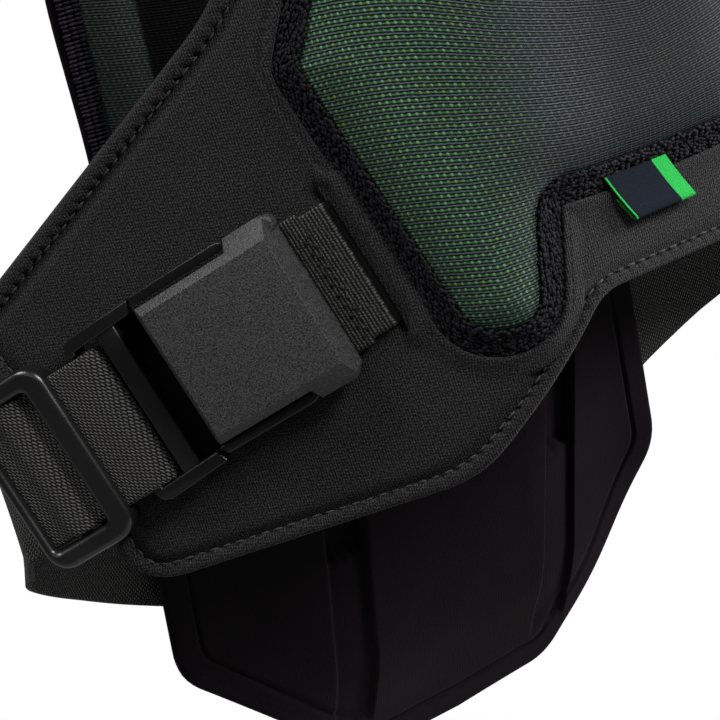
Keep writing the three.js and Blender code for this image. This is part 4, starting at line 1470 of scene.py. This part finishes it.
# A flat ring with a round upper edge: from its outer foot over the top and down into the window
def rounded_ring(name, outer, window, low, high, curve):
    turn = np.linspace(0, math.pi / 2, 6)
    insets = np.concatenate([[0, 0], curve * (1 - np.cos(turn)), [curve + 0.05]])
    levels = np.concatenate([[low, high - curve - 0.05], high - curve + curve * np.sin(turn), [high]])
    rows = list(zip(insets, levels))
    loops = []
    for (a0, a1, b0, b1, radius), side, order in ((outer, 1, rows), (window, -1, rows[::-1])):
        for inset, level in order:
            shift = side * inset
            loop = rounded_box(a0 + shift, a1 - shift, b0 + shift, b1 - shift, max(radius - shift, 0.2), 8)
            loops.append(np.column_stack([loop, np.full(len(loop), level)]))
    return mesh_piece(name, on_wing(np.array(loops)), ring_faces(len(loops), len(loops[0]), True), sharp=35)


def strap_adjuster():
    half = WEBBING.width / 2 + GLIDE_BAR.side
    sides = GLIDE.shift - half, GLIDE.shift + half
    left, right = GLIDE.start + GLIDE_BAR.left, GLIDE.end - GLIDE_BAR.right
    outer = (GLIDE.start, GLIDE.end, GLIDE.shift - GLIDE.reach, GLIDE.shift + GLIDE.reach, GLIDE.radius)
    window = (left, right, *sides, GLIDE_BAR.corner)
    piece = rounded_ring("strap_adjuster_moulded_right", outer, window, GLIDE.low, GLIDE.high, GLIDE.round)
    under = box_outline(GLIDE.start - 1, GLIDE.end + 1, *sides)
    carved(piece, prism("under_tool", under, GLIDE.low - 1, GLIDE_BAR.low), "DIFFERENCE")
    piece.data.set_sharp_from_angle(angle=math.radians(35))
    middle = (left + right) / 2
    bar = box_outline(middle - GLIDE_BAR.centre, middle + GLIDE_BAR.centre, sides[0] - 1, sides[1] + 1)
    bar = softened(prism("centre_bar", bar, GLIDE_BAR.centre_low, GLIDE_BAR.centre_high), 0.6, 3)
    piece = joined("strap_adjuster_moulded_right", [piece, bar])
    both_sides(piece, ["strap_adjuster"], ADJUSTER_PLASTIC)


# Camera
def camera_axes():
    turn, height, tilt = (math.radians(v) for v in (CAMERA.turn, CAMERA.height, CAMERA.tilt))
    back = Vector((math.sin(turn) * math.cos(height), -math.cos(turn) * math.cos(height), math.sin(height)))
    right = (-back).cross(Vector((0, 0, 1))).normalized()
    up = right.cross(-back)
    return right * math.cos(tilt) - up * math.sin(tilt), right * math.sin(tilt) + up * math.cos(tilt), back


def set_camera():
    data = bpy.data.cameras.new("camera")
    data.lens = CAMERA.lens
    data.sensor_width = CAMERA.sensor
    data.clip_start = 0.01
    camera = in_scene("camera", data)
    turn = Matrix(camera_axes()).transposed().to_4x4()
    camera.matrix_world = Matrix.Translation(Vector(CAMERA.place) * MM) @ turn
    bpy.context.scene.camera = camera


# Studio: pale floor, white surroundings, soft lights; places and sizes in metres
FLOOR = Sizes(below=0.12, reach=6.0, grey=0.25)
SURROUNDINGS = Sizes(light=0.03, shown=1.05)
WHITE = (1, 1, 1, 1)
AIM = Vector((0, 0, -0.26))
# Lights: place, size, power in watts
LIGHTS = {
    "key": ((0.4, -1.0, 0.95), 0.5, 21),
    "right": ((1.2, -0.5, 0.2), 0.5, 20),
    "top": ((-0.75, 0.2, 0.9), 0.6, 10),
    "side": ((-0.95, -0.6, 0.55), 0.8, 1),
    "behind": ((0.6, 1.2, 0.5), 0.8, 16),
}


def area_light(name, place, size, power):
    data = bpy.data.lights.new(name, "AREA")
    data.shape = "DISK"
    data.size = size
    data.energy = power
    light = in_scene(name, data)
    light.location = place
    light.rotation_euler = (AIM - Vector(place)).to_track_quat("-Z", "Y").to_euler()


# One shader for what the camera sees directly, another for the light that the part gets
def seen_and_lit(tree, lit, seen, end):
    ray = tree.nodes.new("ShaderNodeLightPath").outputs["Is Camera Ray"]
    both = node_output(tree, "ShaderNodeMixShader", {0: ray, 1: lit, 2: seen})
    tree.links.new(both, tree.nodes[end].inputs["Surface"])


def set_floor():
    low = CAD_BOX[0].z - FLOOR.below
    reach = FLOOR.reach
    mesh = bpy.data.meshes.new("floor")
    corners = [(-reach, -reach, low), (reach, -reach, low), (reach, reach, low), (-reach, reach, low)]
    mesh.from_pydata(corners, [], [(0, 1, 2, 3)])
    floor = in_scene("floor", mesh)
    grey = (FLOOR.grey, FLOOR.grey, FLOOR.grey, 1)
    material, tree, shader = new_material("floor", Base_Color=grey, Roughness=0.9)
    pale = node_output(tree, "ShaderNodeEmission", {"Color": WHITE, "Strength": 1.0})
    seen_and_lit(tree, shader.outputs[0], pale, "Material Output")
    mesh.materials.append(material)


def set_studio():
    set_floor()
    world = bpy.data.worlds.new("surroundings")
    bpy.context.scene.world = world
    world.use_nodes = True
    tree = world.node_tree
    ground = tree.nodes["Background"]
    ground.inputs["Color"].default_value = WHITE
    ground.inputs["Strength"].default_value = SURROUNDINGS.light
    shown = node_output(tree, "ShaderNodeBackground", {"Color": WHITE, "Strength": SURROUNDINGS.shown})
    seen_and_lit(tree, ground.outputs[0], shown, "World Output")
    for name, (place, size, power) in LIGHTS.items():
        area_light(name, place, size, power)
    settings = bpy.context.scene.view_settings
    settings.view_transform = "Standard"
    settings.look = "None"


set_camera()
front_panel()
panel_binding()
edge_stitches(
    "front_edge_stitches", FRONT_LOWER, FRONT_UPPER, front_y, FRONT_STITCH.inset, FRONT_STITCH.lift,
)
front_pad = dome("front_pad_mesh", PAD_LOWER, PAD_UPPER, PAD, front_y, MESH_ROWS)
dressed(front_pad, PAD_MESH, ["front_pad"])
knotted_band("front_pad_stitching", PAD_LOWER, PAD_UPPER, front_y, "front_pad_seam")
label()
back_panel()
edge_stitches("back_outer_stitches", BACK_LOWER, BACK_UPPER, back_outer_y, BORDER.outer, BORDER.stitch_lift)
back_pad = dome("back_pad_mesh", LINING_LOWER, LINING_UPPER, LINING, back_inner_y, LINING_ROWS)
dressed(back_pad, PAD_MESH, ["back_pad"])
overlocked_band("back_pad_stitching", LINING_LOWER, LINING_UPPER, back_inner_y, "back_pad_seam")
side_strap()
buckle_tab()
shoulder_strap()
buckle_plate()
buckle_frame()
strap_adjuster()
set_studio()
